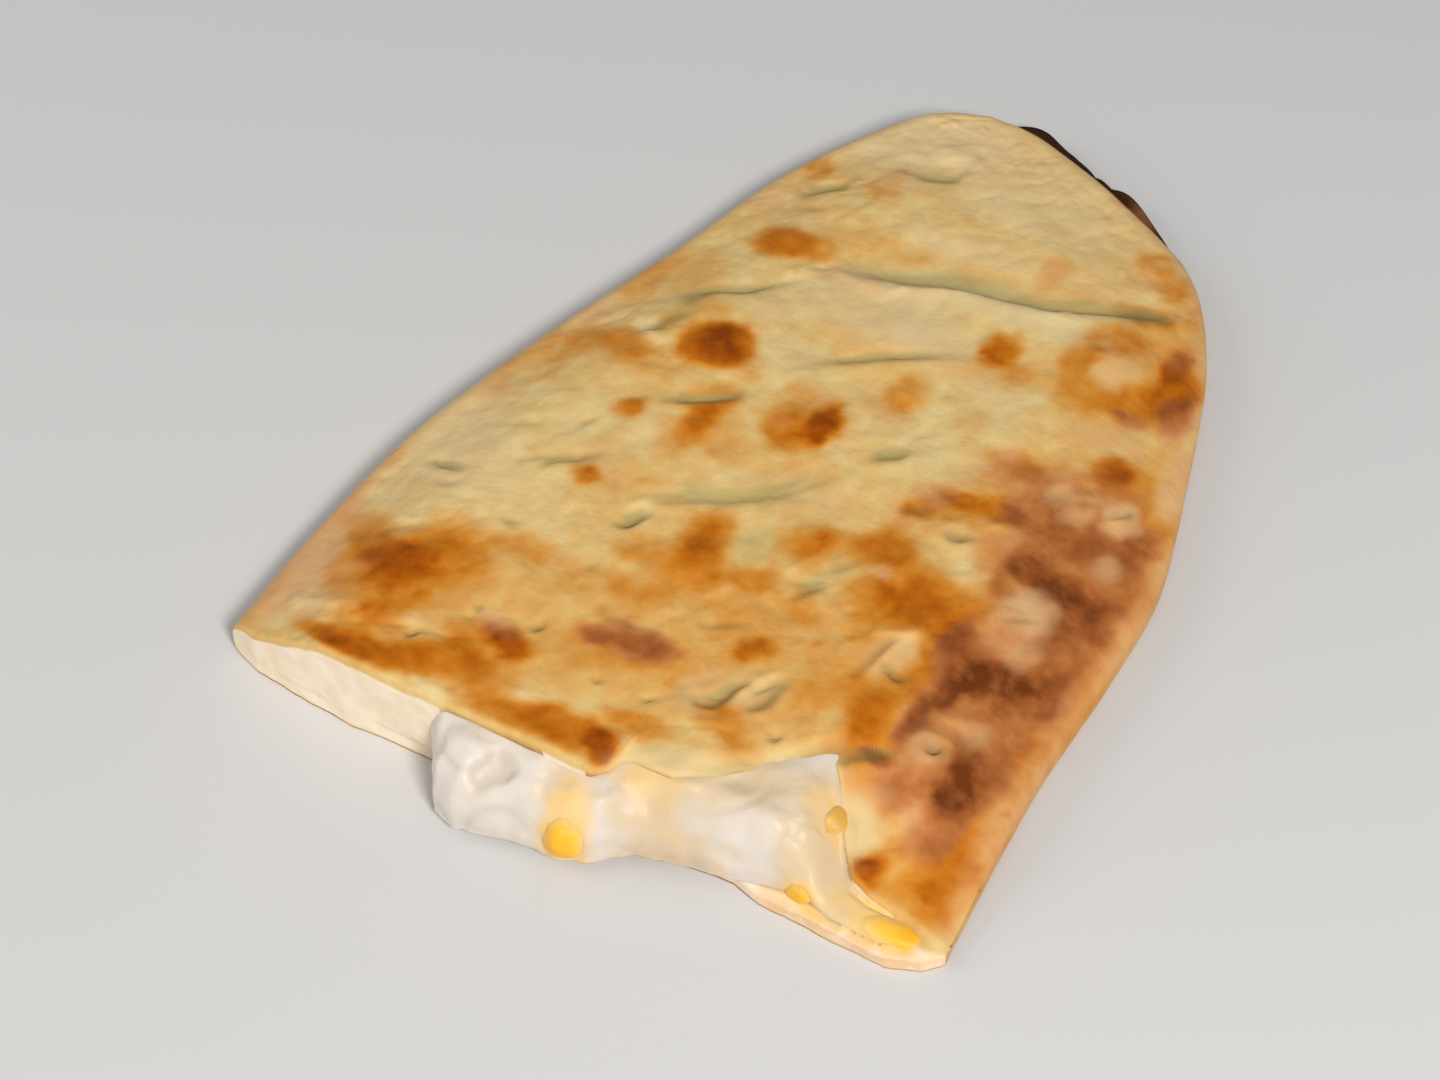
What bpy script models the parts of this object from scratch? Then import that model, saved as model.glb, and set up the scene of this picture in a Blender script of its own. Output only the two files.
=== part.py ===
"""Half of a long oval cheese pie, cut straight across and lying on its baked underside.

A dough pocket is sealed round its rim and open at the cut. Melted white cheese runs through the
pocket and bulges from the cut, with a few bits of yellow cheese melted into it.

The frame of the model: the origin is in the middle of the footprint's box, on the surface that the
pie rests on, +X runs along the cut, +Y from the cut to the rounded tip and +Z up.
The named sizes are millimetres, measured from the middle of the cut, and the meshes are metres.
"""

import bmesh
import bpy
import numpy as np
from mathutils import Vector, noise

MM = 0.001

# Middle of the footprint's box, from the middle of the cut
MIDDLE_ACROSS = 0.4
MIDDLE_ALONG = 75.4

# Outline of the rim from the cut's two corners to the tip
LEFT_EDGE = [
    (-61.5, 0), (-61.3, 23), (-59, 50), (-51.5, 80), (-42.5, 108), (-35, 134), (-23.5, 156),
    (-17, 162.8), (-9, 165.8)
]
RIGHT_EDGE = [
    (61.5, 0), (60.8, 33), (62, 57), (61.8, 76), (57, 98), (49.5, 124.5), (39, 143), (22, 155),
    (6, 162.8), (-1, 165.2), (-9, 165.8)
]

# The cut's line on the underside, and on the top crust with its torn notch
CUT_UNDERSIDE = [
    (-61.5, 0), (-56, -2), (-49.5, -3), (-37, -4.3), (-23, -4.2), (0, -4), (17, -4), (28, -3.4),
    (33, -5), (48, -6), (54, -6.3), (59, -4.7), (61.5, -2)
]
CUT_TOP = [
    (-61.5, 0), (-56, -2), (-49.5, -3.2), (-37, -4.3), (-10, -4.8), (5.5, -5), (7.6, -3), (8.6, 0),
    (16, 0.4), (21.3, 3.2), (26.7, 8), (32.5, 12.4), (35.2, 14.4), (37, 12.5), (41, 6.5), (44.5, 1.8),
    (48, 0.7), (54, 0.5), (59, -0.5), (61.5, -1)
]

# The crust: heights of its side, of its rim and of the filled part along the pie
EDGE_LOW = 2.0
EDGE_LOW_SHARE = 0.3
EDGE_HIGH = 4.2
EDGE_HIGH_SHARE = 0.6
RIM_HEIGHT = 7.6
RIM_ROUND = 4.0
UNDER_ROUND = 3.0
RISE_WIDTH = 22.0
FILLED_HEIGHT = [(-6, 15.8), (20, 15.4), (60, 14.4), (100, 13.0), (130, 11.2), (150, 9.4), (166, 7.8)]
SHEET_AT_CUT = 1.7
SHEET_INSIDE = 2.6
SHEET_GROWS_OVER = 20.0
BOTTOM_SHEET = 2.0

# At the cut the top crust steps back from the bottom one between these heights
STEP_LOW = 2.4
STEP_RISE = 1.2

# The top crust sags on to the bottom one beside the right-hand corner
SAG = 0.66
SAG_FROM_ACROSS = 32.0
SAG_OVER_ACROSS = 12.0
SAG_FROM_ALONG = -2.0
SAG_LENGTH = 26.0

# The marks on the top crust are measured on a level this high, as seen from this eye
MARKS_LEVEL = 10.0
EYE = (159.8, -252.5, 379.6)

# Creases of the top crust: points along it, depth, half width, height of the fold on its near side
CREASES = [
    ([(-10, 113), (0, 116.5), (10, 119), (20, 121.5), (30, 125), (39, 127.5)], 0.5, 1.6, 0.3),
    ([(-33, 95), (-28, 99.5), (-22, 103)], 0.9, 1.2, 0.4),
    ([(-23, 72), (-19, 74.5), (-14, 78)], 0.9, 1.2, 0.3),
    ([(-5, 92), (4, 98), (14, 103)], 0.6, 1.2, 0.2),
    ([(-35, 48), (-33, 51), (-30, 54)], 0.7, 1.1, 0.2),
    ([(-20, 50), (-8, 55), (0, 60), (5, 68)], 0.5, 1.4, 0.2),
    ([(-17, 44), (-15, 49)], 0.8, 1.2, 0.2),
    ([(11, 75), (16, 79)], 0.8, 1.4, 0.2),
    ([(11.5, 19), (14.5, 24)], 0.9, 1.0, 0.5),
    ([(17, 22), (20, 27.5)], 0.9, 1.0, 0.5),
    ([(-51, 42), (-45, 43.5)], 0.6, 1.0, 0.2),
    ([(13, 45), (17, 49)], 0.6, 1.1, 0.2),
    ([(-12, 141), (-4, 143.5)], 0.7, 1.4, -0.4),
    ([(-27, 128), (-21, 132.5)], 0.7, 1.2, 0.2),
    ([(-38, 83), (-32, 87)], 0.7, 1.2, 0.3),
]

# Long folds, where the near side stands higher than the far side: points, height, half width of the
# slope and how far to each side it dies away
FOLDS = [
    ([(-14, 111.5), (-5, 114), (4, 117), (11, 119), (20, 120.6), (30, 123.6), (41, 127.4)], 2.3, 1.7, 8.0),
    ([(-36, 92), (-30, 97), (-24, 101), (-18, 106)], 1.1, 1.3, 5.0),
]

# Place and width of a crease's fold, in half widths of the crease
FOLD_APART = 2.2
FOLD_WIDTH = 1.2

# Blisters of the top crust: across, along, half width across, half width along, height
BLISTERS = [
    (-23, 87, 6.5, 7.5, 0.9),
    (-1, 77, 6.5, 6.5, 0.9),
    (-24, 115, 6, 4.5, 0.6),
    (19, 107, 5.5, 5, 0.7),
    (38, 111, 9, 10, 0.9),
    (50, 110, 5, 8, 0.5),
    (-28, 67, 3, 3, 0.5),
    (-16, 68, 4.5, 4.5, 0.5),
    (-27, 50, 3, 3.5, 0.5),
    (10, 90, 4.5, 3.5, 0.5),
    (-4, 43, 6.5, 7.5, 0.8),
    (12, 55, 4.5, 5.5, 0.6),
    (26, 57, 7, 7, 0.7),
    (48, 91, 5.5, 4, 0.6),
    (-44, 22, 9.5, 6, 0.9),
    (-29, 26, 9, 7, 0.6),
    (-20, 15, 4.5, 3.5, 0.5),
    (-5, 23, 7.5, 4, 0.7),
    (14, 30, 4.5, 3.5, 0.5),
    (-28, 7, 8.5, 5.5, 0.6),
    (3, 4, 4.5, 3.5, 0.5),
    (15, 14, 4.5, 3.5, 0.4),
    (35, 28, 4.5, 5.5, 0.6),
    (47, 55, 6, 7, 1.1),
    (30, 66, 5, 4, 0.8),
    (46, 82, 4.5, 4, 0.8),
    (53, 80, 3.5, 4.5, 0.6),
    (46, 25, 4.5, 4.5, 1.0),
    (53, 22, 5, 7, 0.7),
    (44, 39, 6, 6, 0.6),
    (-8, 148, 6, 3.5, 0.8),
    (34, 138, 7, 4, 0.5),
]

# Holes baked into the blisters: across, along, half width, depth
PITS = [
    (31, 66, 2.2, 0.9),
    (46, 25.5, 1.8, 1.1),
    (47, 56.5, 2.4, 0.6),
    (-28, 16.5, 1.6, 0.6),
    (24, 17.5, 1.5, 0.6),
]

# Waves of the dough: width of a wave and its height
WAVES = [(26.0, 0.55), (9.0, 0.3)]

# All marks grow from nothing at the rim to full height this far in
MARKS_FADE = 5.0

# Thin scorched lips of the bottom crust at the tip's right shoulder: from and to across, and reach,
# how far back they start and the share of the side's height that they end over
LIPS = [(-3, 14, 1.6), (15, 33, 1.8)]
LIP_DEPTH = 2.5
LIP_ENDS = (0.45, 0.3)

# The filling: its reach inside the pie, as shares of the width and of the length
FILLING_LEFT = 0.142
FILLING_RIGHT = 0.972
FILLING_RIGHT_INSIDE = 0.91
FILLING_NARROWS_BY = 0.15
FILLING_TIP = 0.8

# The filling's height at its side, its least height above that, how far in it is full,
# and how many times sooner at the right
FILLING_EDGE = 1.0
FILLING_LEAST = 0.2
FILLING_RISE = 15.0
FILLING_RISE_RIGHT = 3.0

# Front of the cheese as it bulges from the cut, and how far back its round front reaches
CHEESE_FRONT = [
    (-44, -4.0), (-37, -4.6), (-23, -4.6), (-20.6, -6.2), (-17.6, -10), (-14.6, -13.3), (-11, -15.2),
    (-8, -14.2), (-4, -12.9), (0, -12.6), (4, -13), (8, -11.3), (11, -8.4), (14, -6.8), (20, -5.8),
    (28, -4.6), (34, -3.2), (39, -2.6), (44, -4.3), (52, -5), (58, -3.6)
]
CHEESE_ROUND = [(-44, 0.6), (-24, 0.6), (-17, 7), (-10, 11), (24, 11), (36, 8), (42, 3), (58, 2)]

# The bulge's lowest level, the height and share of height of its foremost line, and the round and
# rise under that line
CHEESE_LOW = 0.5
CHEESE_MIDDLE = 3.4
CHEESE_MIDDLE_SHARE = 0.45
CHEESE_UNDER_ROUND = 2.5
CHEESE_UNDER_RISE = 0.6

# The cheese is free of the top crust, and of the bottom crust, from this far in front of its edge
# and over this length
FREE_OF_TOP = (1.5, 3.0)
FREE_OF_BOTTOM = (2.4, 2.0)

# Lobes and hollows of the bulging cheese: across, along, half width, height
LOBES = [
    (-14, -9, 5.0, 1.5),
    (-12, -13, 4.0, 0.9),
    (-7.5, -8.5, 3.4, -2.2),
    (-3, -11, 4.0, 1.1),
    (2, -5, 3.6, -0.9),
    (9.5, -8, 4.6, 1.5),
    (15, -4, 3.4, -0.8),
    (19, -1, 4.4, 0.8),
    (25, 5, 4.0, -0.8),
    (31.5, -0.5, 4.4, 1.7),
]
CHEESE_WAVES = [(7.0, 0.6)]

# Unevenness of the bits of yellow cheese
BIT_UNEVENNESS = 0.16
BIT_WAVE = 1.3

# Bits of yellow cheese: across, along, height of the middle, half sizes across, along and up
YELLOW_BITS = [
    (4.2, -11.4, 6.2, 3.1, 2.8, 3.5),
    (38.4, -2.3, 3.7, 2.1, 1.7, 1.5),
    (38.0, 7.0, 10.6, 2.7, 2.4, 1.4),
    (53.0, -2.6, 3.6, 4.4, 2.1, 1.0),
]

# The crust's rows and columns lie closer together near the rim, and the last row this near to the tip
CROWDING_ACROSS = 0.55
CROWDING_ALONG = 0.3
LAST_ROW = 0.995

# The filling's rows lie closer together near the cut
CHEESE_CROWDING = 0.65

# How fast the cut's bow fades along the pie
FRONT_FADE = 3.0

# Fineness of the grids that the forms are bent from, and the triangles that are kept
CRUST_GRID = (120, 150, 8)
FILLING_GRID = (84, 90, 6)
CRUST_TRIANGLES = 7800
FILLING_TRIANGLES = 2500
GAP = 0.3


def clear_scene():
    for thing in list(bpy.data.objects):
        bpy.data.objects.remove(thing)


def new_collection(name):
    collection = bpy.data.collections.new(name)
    bpy.context.scene.collection.children.link(collection)
    return collection


def new_material(name, colour, roughness):
    material = bpy.data.materials.new(name)
    material.use_nodes = True
    shader = material.node_tree.nodes["Principled BSDF"]
    shader.inputs["Base Color"].default_value = (*colour, 1.0)
    shader.inputs["Roughness"].default_value = roughness
    shader.inputs["Metallic"].default_value = 0.0
    material.diffuse_color = (*colour, 1.0)
    return material


def ease(value):
    """Smooth step from 0 to 1."""
    value = np.clip(value, 0.0, 1.0)
    return value * value * (3.0 - 2.0 * value)


def shoulder(value):
    """Quarter round from 0 to 1, steep at 0 and level at 1."""
    value = np.clip(value, 0.0, 1.0)
    return np.sqrt(1.0 - (1.0 - value) ** 2)


def follow(points, x):
    """Value at x of a run of straight pieces through the points."""
    across, value = np.array(points, float).T
    return np.interp(x, across, value)


def smooth_line(points, steps=16):
    """Points of a Catmull-Rom curve that passes through the given ones."""
    given = np.array(points, float)
    before = 2 * given[0] - given[1]
    after = 2 * given[-1] - given[-2]
    padded = np.concatenate([[before], given, [after]])
    u = np.linspace(0.0, 1.0, steps, endpoint=False)[:, None]
    spans = []
    for a, b, c, d in zip(padded, padded[1:], padded[2:], padded[3:]):
        span = 2 * b + (c - a) * u + (2 * a - 5 * b + 4 * c - d) * u**2 + (3 * b - a - 3 * c + d) * u**3
        spans.append(0.5 * span)
    return np.concatenate([*spans, [given[-1]]])


def at_share(line, share):
    """Points at the given shares of a line's length."""
    lengths = np.concatenate([[0.0], np.cumsum(np.linalg.norm(np.diff(line, axis=0), axis=1))])
    wanted = share * lengths[-1]
    return np.interp(wanted, lengths, line[:, 0]), np.interp(wanted, lengths, line[:, 1])


def nearest(line, x, y):
    """Distance to a line, the share of its length there, and the side: positive on its left."""
    best = np.full(x.shape, np.inf)
    share = np.zeros(x.shape)
    side = np.ones(x.shape)
    count = len(line) - 1
    for index in range(count):
        (ax, ay), (bx, by) = line[index], line[index + 1]
        dx, dy = bx - ax, by - ay
        along = np.clip(((x - ax) * dx + (y - ay) * dy) / (dx * dx + dy * dy), 0.0, 1.0)
        distance = np.hypot(x - ax - along * dx, y - ay - along * dy)
        closer = distance < best
        best = np.where(closer, distance, best)
        share = np.where(closer, (index + along) / count, share)
        side = np.where(closer, np.sign(dx * (y - ay) - dy * (x - ax)), side)
    return best, share, side


LEFT_LINE = smooth_line(LEFT_EDGE)
RIGHT_LINE = smooth_line(RIGHT_EDGE)
RIM_LINE = np.concatenate([LEFT_LINE, RIGHT_LINE[-2::-1]])


def plan(s, t, front=None):
    """Place on the plan at shares of the width and length, with a front line added at the cut."""
    left_x, left_y = at_share(LEFT_LINE, t)
    right_x, right_y = at_share(RIGHT_LINE, t)
    x = left_x + (right_x - left_x) * s
    y = left_y + (right_y - left_y) * s
    if front:
        y = y + follow(front, x) * (1.0 - t) ** FRONT_FADE
    return x, y


def waves(x, y, sizes):
    """Gentle unevenness, the same on each run."""
    total = np.zeros(x.shape)
    for width, height in sizes:
        points = zip(x / width, y / width)
        total += height * np.array([noise.noise(Vector((u, v, width))) for u, v in points])
    return total


def bumps(x, y, places):
    """Round swellings, each with its half widths across and along and its height."""
    total = np.zeros(x.shape)
    for across, along, wide, long, height in places:
        apart = ((x - across) / wide) ** 2 + ((y - along) / long) ** 2
        total += height * np.clip(1.0 - apart, 0.0, 1.0) ** 2
    return total


def creases(x, y):
    """Grooves along lines, deepest in their middle, each with a fold on its near side."""
    total = np.zeros(x.shape)
    for points, depth, width, fold in CREASES:
        apart, share, side = nearest(smooth_line(points, 6), x, y)
        fade = np.sin(np.pi * np.clip(share, 0.02, 0.98)) ** 0.5
        total -= depth * fade * np.exp(-((apart / width) ** 2))
        beside = (apart / width - FOLD_APART) / FOLD_WIDTH
        total += np.where(side < 0, fold * fade * np.exp(-(beside**2)), 0.0)
    return total


def folds(x, y):
    """Long steps of the dough, high on the near side of a line and low on its far side."""
    total = np.zeros(x.shape)
    for points, height, width, reach in FOLDS:
        apart, share, side = nearest(smooth_line(points, 6), x, y)
        fade = np.sin(np.pi * np.clip(share, 0.02, 0.98)) ** 0.5
        slope = -side * np.tanh(apart / width) * np.exp(-((apart / reach) ** 2))
        total += 0.5 * height * fade * slope
    return total


def dome(x, y):
    """Height of the top crust without its marks and without the round of its rim."""
    inward = nearest(RIM_LINE, x, y)[0]
    height = RIM_HEIGHT + (follow(FILLED_HEIGHT, y) - RIM_HEIGHT) * ease(inward / RISE_WIDTH)
    across = ease((x - SAG_FROM_ACROSS) / SAG_OVER_ACROSS)
    along = 1.0 - ease((y - SAG_FROM_ALONG) / SAG_LENGTH)
    return height * (1.0 - SAG * across * along)


def on_marks_level(x, y, z):
    """Where the line from the eye to a point of the crust meets the level of the marks."""
    share = (MARKS_LEVEL - EYE[2]) / (z - EYE[2])
    return EYE[0] + (x - EYE[0]) * share, EYE[1] + (y - EYE[1]) * share


def crust_top(x, y):
    """Height of the top crust with its folds, creases, blisters, pits and waves."""
    inward = nearest(RIM_LINE, x, y)[0]
    height = dome(x, y)
    across, along = on_marks_level(x, y, height)
    pits = [(px, py, half, half, -depth) for px, py, half, depth in PITS]
    marks = waves(x, y, WAVES) + bumps(across, along, BLISTERS + pits)
    marks = marks + creases(across, along) + folds(across, along)
    height = height + marks * ease(inward / MARKS_FADE)
    low = np.minimum(EDGE_HIGH, EDGE_HIGH_SHARE * height)
    return low + (height - low) * shoulder(inward / RIM_ROUND)


def crust_underside(x, y):
    """Level underside with a rounded lower rim."""
    inward = nearest(RIM_LINE, x, y)[0]
    low = np.minimum(EDGE_LOW, EDGE_LOW_SHARE * dome(x, y))
    return low * (1.0 - shoulder(inward / UNDER_ROUND))


def box_grid(name, cuts):
    """A unit box whose edges are cut evenly, with s, t and h from 0 to 1 as its coordinates."""
    mesh = bmesh.new()
    bmesh.ops.create_cube(mesh, size=1.0)
    for axis, count in enumerate(cuts):
        along = [edge for edge in mesh.edges if abs((edge.verts[0].co - edge.verts[1].co)[axis]) > 1e-6]
        bmesh.ops.subdivide_edges(mesh, edges=along, cuts=count - 1, use_grid_fill=True)
    bmesh.ops.translate(mesh, verts=mesh.verts, vec=(0.5, 0.5, 0.5))
    data = bpy.data.meshes.new(name)
    mesh.to_mesh(data)
    mesh.free()
    return data


def read_points(data):
    points = np.empty(len(data.vertices) * 3)
    data.vertices.foreach_get("co", points)
    return points.reshape(-1, 3)


def write_points(data, x, y, z):
    """Sets the points of a mesh from millimetres measured from the middle of the cut."""
    points = np.stack([x - MIDDLE_ACROSS, y - MIDDLE_ALONG, z], axis=1) * MM
    data.vertices.foreach_set("co", points.ravel())
    data.update()


def crowd_to_ends(share, strength):
    """Spreads shares so that they lie closer together at 0 and 1."""
    return share - strength * np.sin(2.0 * np.pi * share) / (2.0 * np.pi)


def thin_out(thing, triangles):
    """Keeps about so many triangles, more where the form bends."""
    faces = sum(len(face.vertices) - 2 for face in thing.data.polygons)
    modifier = thing.modifiers.new("Decimate", "DECIMATE")
    modifier.ratio = min(1.0, triangles / faces)
    modifier.use_collapse_triangulate = True


def apply_modifiers(thing):
    """Replaces an object's mesh by the one that its modifiers give."""
    evaluated = thing.evaluated_get(bpy.context.evaluated_depsgraph_get())
    data = bpy.data.meshes.new_from_object(evaluated)
    thing.modifiers.clear()
    thing.data = data


def add_object(name, data, collection, material):
    thing = bpy.data.objects.new(name, data)
    data.materials.append(material)
    collection.objects.link(thing)
    return thing


def scorched_lips(x, y):
    """How far the lower rim reaches out at the scorched lips of the tip."""
    outer = np.clip(1.0 - nearest(RIM_LINE, x, y)[0] / LIP_DEPTH, 0.0, 1.0) * (y > MIDDLE_ALONG)
    total = np.zeros(x.shape)
    for start, end, reach in LIPS:
        total += reach * outer * np.sin(np.pi * np.clip((x - start) / (end - start), 0.0, 1.0))
    return total


def add_crust(collection, material):
    """The whole outer body of the half pie, before the pocket is cut out of it."""
    data = box_grid("crust", CRUST_GRID)
    s, t, h = read_points(data).T
    s = crowd_to_ends(s, CROWDING_ACROSS)
    t = LAST_ROW * t * (1.0 + CROWDING_ALONG * (1.0 - t))
    top_x, top_y = plan(s, t, CUT_TOP)
    under_x, under_y = plan(s, t, CUT_UNDERSIDE)
    high = crust_top(top_x, top_y)
    low = crust_underside(under_x, under_y)
    z = low + (high - low) * h
    share = ease((z - STEP_LOW) / STEP_RISE)
    share = np.where(h == 0.0, 0.0, np.where(h == 1.0, 1.0, share))
    x = under_x + (top_x - under_x) * share
    y = under_y + (top_y - under_y) * share
    lip_start, lip_length = LIP_ENDS
    y = y + scorched_lips(x, y) * (1.0 - ease((h - lip_start) / lip_length))
    write_points(data, x, y, z)
    thing = add_object("crust", data, collection, material)
    thin_out(thing, CRUST_TRIANGLES)
    return thing


def cheese_top(x, y, floor, inward):
    """Upper surface of the cheese: under the top crust inside, free and rounded where it bulges out."""
    edge = follow(CUT_TOP, x)
    held = np.maximum(y, edge)
    sheet = SHEET_AT_CUT + (SHEET_INSIDE - SHEET_AT_CUT) * ease((y - edge) / SHEET_GROWS_OVER)
    side = floor + FILLING_EDGE
    rise = np.maximum(dome(x, held) - sheet - side, FILLING_LEAST)
    high = side + rise * shoulder(inward / FILLING_RISE)
    start, length = FREE_OF_TOP
    free = 1.0 - ease((y - edge + start) / length)
    lobes = [(across, along, half, half, height) for across, along, half, height in LOBES]
    high = high + free * (bumps(x, y, lobes) + waves(x, y, CHEESE_WAVES))
    behind = y - follow(CHEESE_FRONT, x)
    middle = np.minimum(CHEESE_MIDDLE, floor + CHEESE_MIDDLE_SHARE * (high - floor))
    return middle + (high - middle) * shoulder(behind / follow(CHEESE_ROUND, x))


def cheese_floor(x, y):
    """Lower surface of the cheese: on the bottom crust inside, lower where it hangs over the cut."""
    start, length = FREE_OF_BOTTOM
    on_crust = ease((y - follow(CUT_UNDERSIDE, x) + start) / length)
    return CHEESE_LOW + (BOTTOM_SHEET - CHEESE_LOW) * on_crust


def add_filling(collection, material):
    """The melted cheese: a pillow inside the pocket that bulges out at the cut."""
    data = box_grid("cheese_filling", FILLING_GRID)
    s, t, h = read_points(data).T
    t = t * (1.0 - CHEESE_CROWDING * (1.0 - t))
    right = FILLING_RIGHT + (FILLING_RIGHT_INSIDE - FILLING_RIGHT) * ease(t / FILLING_NARROWS_BY)
    across = FILLING_LEFT + (right - FILLING_LEFT) * s
    along = FILLING_TIP * t
    x, y = plan(across, along, CHEESE_FRONT)
    from_left = x - plan(np.full(t.shape, FILLING_LEFT), along)[0]
    from_right = FILLING_RISE_RIGHT * (plan(right, along)[0] - x)
    from_tip = plan(across, np.full(t.shape, FILLING_TIP))[1] - y
    inward = np.minimum(np.minimum(from_left, from_right), from_tip)
    floor = cheese_floor(x, y)
    top = cheese_top(x, y, floor, np.maximum(inward, 0.0))
    middle = np.minimum(CHEESE_MIDDLE, CHEESE_MIDDLE_SHARE * (top + floor))
    under = 1.0 - shoulder((y - follow(CHEESE_FRONT, x)) / CHEESE_UNDER_ROUND)
    floor = floor + CHEESE_UNDER_RISE * (middle - floor) * under
    write_points(data, x, y, floor + (top - floor) * h)
    thing = add_object("cheese_filling", data, collection, material)
    thin_out(thing, FILLING_TRIANGLES)
    apply_modifiers(thing)
    return thing


def add_yellow_bit(index, place, collection, material):
    """A rounded bit of yellow cheese."""
    across, along, up, wide, deep, tall = place
    mesh = bmesh.new()
    bmesh.ops.create_icosphere(mesh, subdivisions=2, radius=1.0)
    for vertex in mesh.verts:
        bulge = 1.0 + BIT_UNEVENNESS * noise.noise(vertex.co * BIT_WAVE + Vector((index, 0.0, 0.0)))
        point = vertex.co * bulge
        vertex.co.x = (across + point.x * wide - MIDDLE_ACROSS) * MM
        vertex.co.y = (along + point.y * deep - MIDDLE_ALONG) * MM
        vertex.co.z = (up + point.z * tall) * MM
    name = f"yellow_cheese_{index}"
    data = bpy.data.meshes.new(name)
    mesh.to_mesh(data)
    mesh.free()
    return add_object(name, data, collection, material)


def cut_room_for(thing, kept, cutters):
    """Cuts room for one piece out of another, with a thin gap all round."""
    mesh = bmesh.new()
    mesh.from_mesh(kept.data)
    mesh.normal_update()
    for vertex in mesh.verts:
        vertex.co += vertex.normal * GAP * MM
    data = bpy.data.meshes.new(f"room_{kept.name}")
    mesh.to_mesh(data)
    mesh.free()
    cutter = bpy.data.objects.new(f"room_in_{thing.name}_for_{kept.name}", data)
    cutter.hide_render = True
    cutter.display_type = "WIRE"
    cutters.objects.link(cutter)
    modifier = thing.modifiers.new(f"room for {kept.name}", "BOOLEAN")
    modifier.object = cutter
    modifier.operation = "DIFFERENCE"
    modifier.solver = "EXACT"


def main():
    clear_scene()
    pie = new_collection("cheese_pie_half")
    cutters = new_collection("cutters")
    crust_material = new_material("baked_crust", (0.69, 0.47, 0.20), 0.6)
    cheese_material = new_material("white_cheese", (0.82, 0.76, 0.66), 0.42)
    yellow_material = new_material("yellow_cheese", (0.90, 0.50, 0.06), 0.4)
    crust = add_crust(pie, crust_material)
    filling = add_filling(pie, cheese_material)
    cut_room_for(crust, filling, cutters)
    for index, place in enumerate(YELLOW_BITS, start=1):
        bit = add_yellow_bit(index, place, pie, yellow_material)
        cut_room_for(filling, bit, cutters)
        cut_room_for(crust, bit, cutters)


main()
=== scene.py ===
"""Looks of the half cheese pie: its browned crust, torn and cut dough, melted cheese and yellow bits.

The forms follow the same named values as the solids, bent from finer grids, with finer relief on top.
Sizes are millimetres measured from the middle of the cut, and the meshes are metres in the frame.
"""

import math

import bmesh
import bpy
import numpy as np
from mathutils import Matrix, Vector, noise
from mathutils.bvhtree import BVHTree


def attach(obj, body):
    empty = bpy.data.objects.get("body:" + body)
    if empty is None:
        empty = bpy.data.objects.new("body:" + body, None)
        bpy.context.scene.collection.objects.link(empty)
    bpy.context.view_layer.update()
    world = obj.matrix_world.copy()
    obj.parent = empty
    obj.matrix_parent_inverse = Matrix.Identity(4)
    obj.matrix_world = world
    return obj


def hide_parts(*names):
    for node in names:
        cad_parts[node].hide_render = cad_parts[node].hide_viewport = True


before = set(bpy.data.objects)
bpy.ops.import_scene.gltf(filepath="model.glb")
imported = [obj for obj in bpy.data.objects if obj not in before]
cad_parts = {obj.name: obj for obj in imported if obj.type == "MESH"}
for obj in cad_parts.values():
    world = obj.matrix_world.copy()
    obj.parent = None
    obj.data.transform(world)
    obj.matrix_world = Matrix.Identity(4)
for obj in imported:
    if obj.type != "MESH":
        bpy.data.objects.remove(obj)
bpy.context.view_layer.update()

MM = 0.001

# Nothing is divided by less than this
LEAST = 0.01

# Middle of the footprint's box, from the middle of the cut
MIDDLE = (0.4, 75.4, 0.0)

# Outline of the rim from the cut's two corners to the tip
LEFT_EDGE = [
    (-61.5, 0), (-61.3, 23), (-59, 50), (-51.5, 80), (-42.5, 108), (-35, 134), (-23.5, 156),
    (-17, 162.8), (-9, 165.8)
]
RIGHT_EDGE = [
    (61.5, 0), (60.8, 33), (62, 57), (61.8, 76), (57, 98), (49.5, 124.5), (39, 143), (22, 155),
    (6, 162.8), (-1, 165.2), (-9, 165.8)
]

# The cut's line on the underside, and on the top crust with its torn notch
CUT_UNDERSIDE = [
    (-61.5, 0), (-56, -2), (-49.5, -3), (-37, -4.3), (-23, -4.2), (0, -4), (17, -4), (28, -3.4),
    (33, -5), (48, -6), (54, -6.3), (59, -4.7), (61.5, -2)
]
CUT_TOP = [
    (-61.5, 0), (-56, -2), (-49.5, -3.2), (-37, -4.3), (-10, -4.8), (5.5, -5), (7.6, -3), (8.6, 0),
    (16, 0.4), (21.3, 3.2), (26.7, 8), (32.5, 12.4), (35.2, 14.4), (37, 12.5), (41, 6.5), (44.5, 1.8),
    (48, 0.7), (54, 0.5), (59, -0.5), (61.5, -1)
]

# The crust: heights of its side, of its rim and of the filled part along the pie
EDGE_LOW = 2.0
EDGE_LOW_SHARE = 0.3
EDGE_HIGH = 4.2
EDGE_HIGH_SHARE = 0.6
RIM_HEIGHT = 7.6
RIM_ROUND = 4.0
UNDER_ROUND = 3.0
RISE_WIDTH = 22.0
FILLED_HEIGHT = [(-6, 15.8), (20, 15.4), (60, 14.4), (100, 13.0), (130, 11.2), (150, 9.4), (166, 7.8)]
SHEET_AT_CUT = 1.7
SHEET_INSIDE = 2.6
SHEET_GROWS_OVER = 20.0
BOTTOM_SHEET = 2.0

# At the cut the top crust steps back from the bottom one between these heights
STEP_LOW = 2.4
STEP_RISE = 1.2

# The top crust sags on to the bottom one beside the right-hand corner: by this share of its height,
# and where that begins across and ends along. Here and below, a pair of numbers for a change says
# where it starts and over what length it goes on
SAG = 0.66
SAG_ACROSS = (32.0, 12.0)
SAG_ALONG = (-2.0, 26.0)

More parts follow.
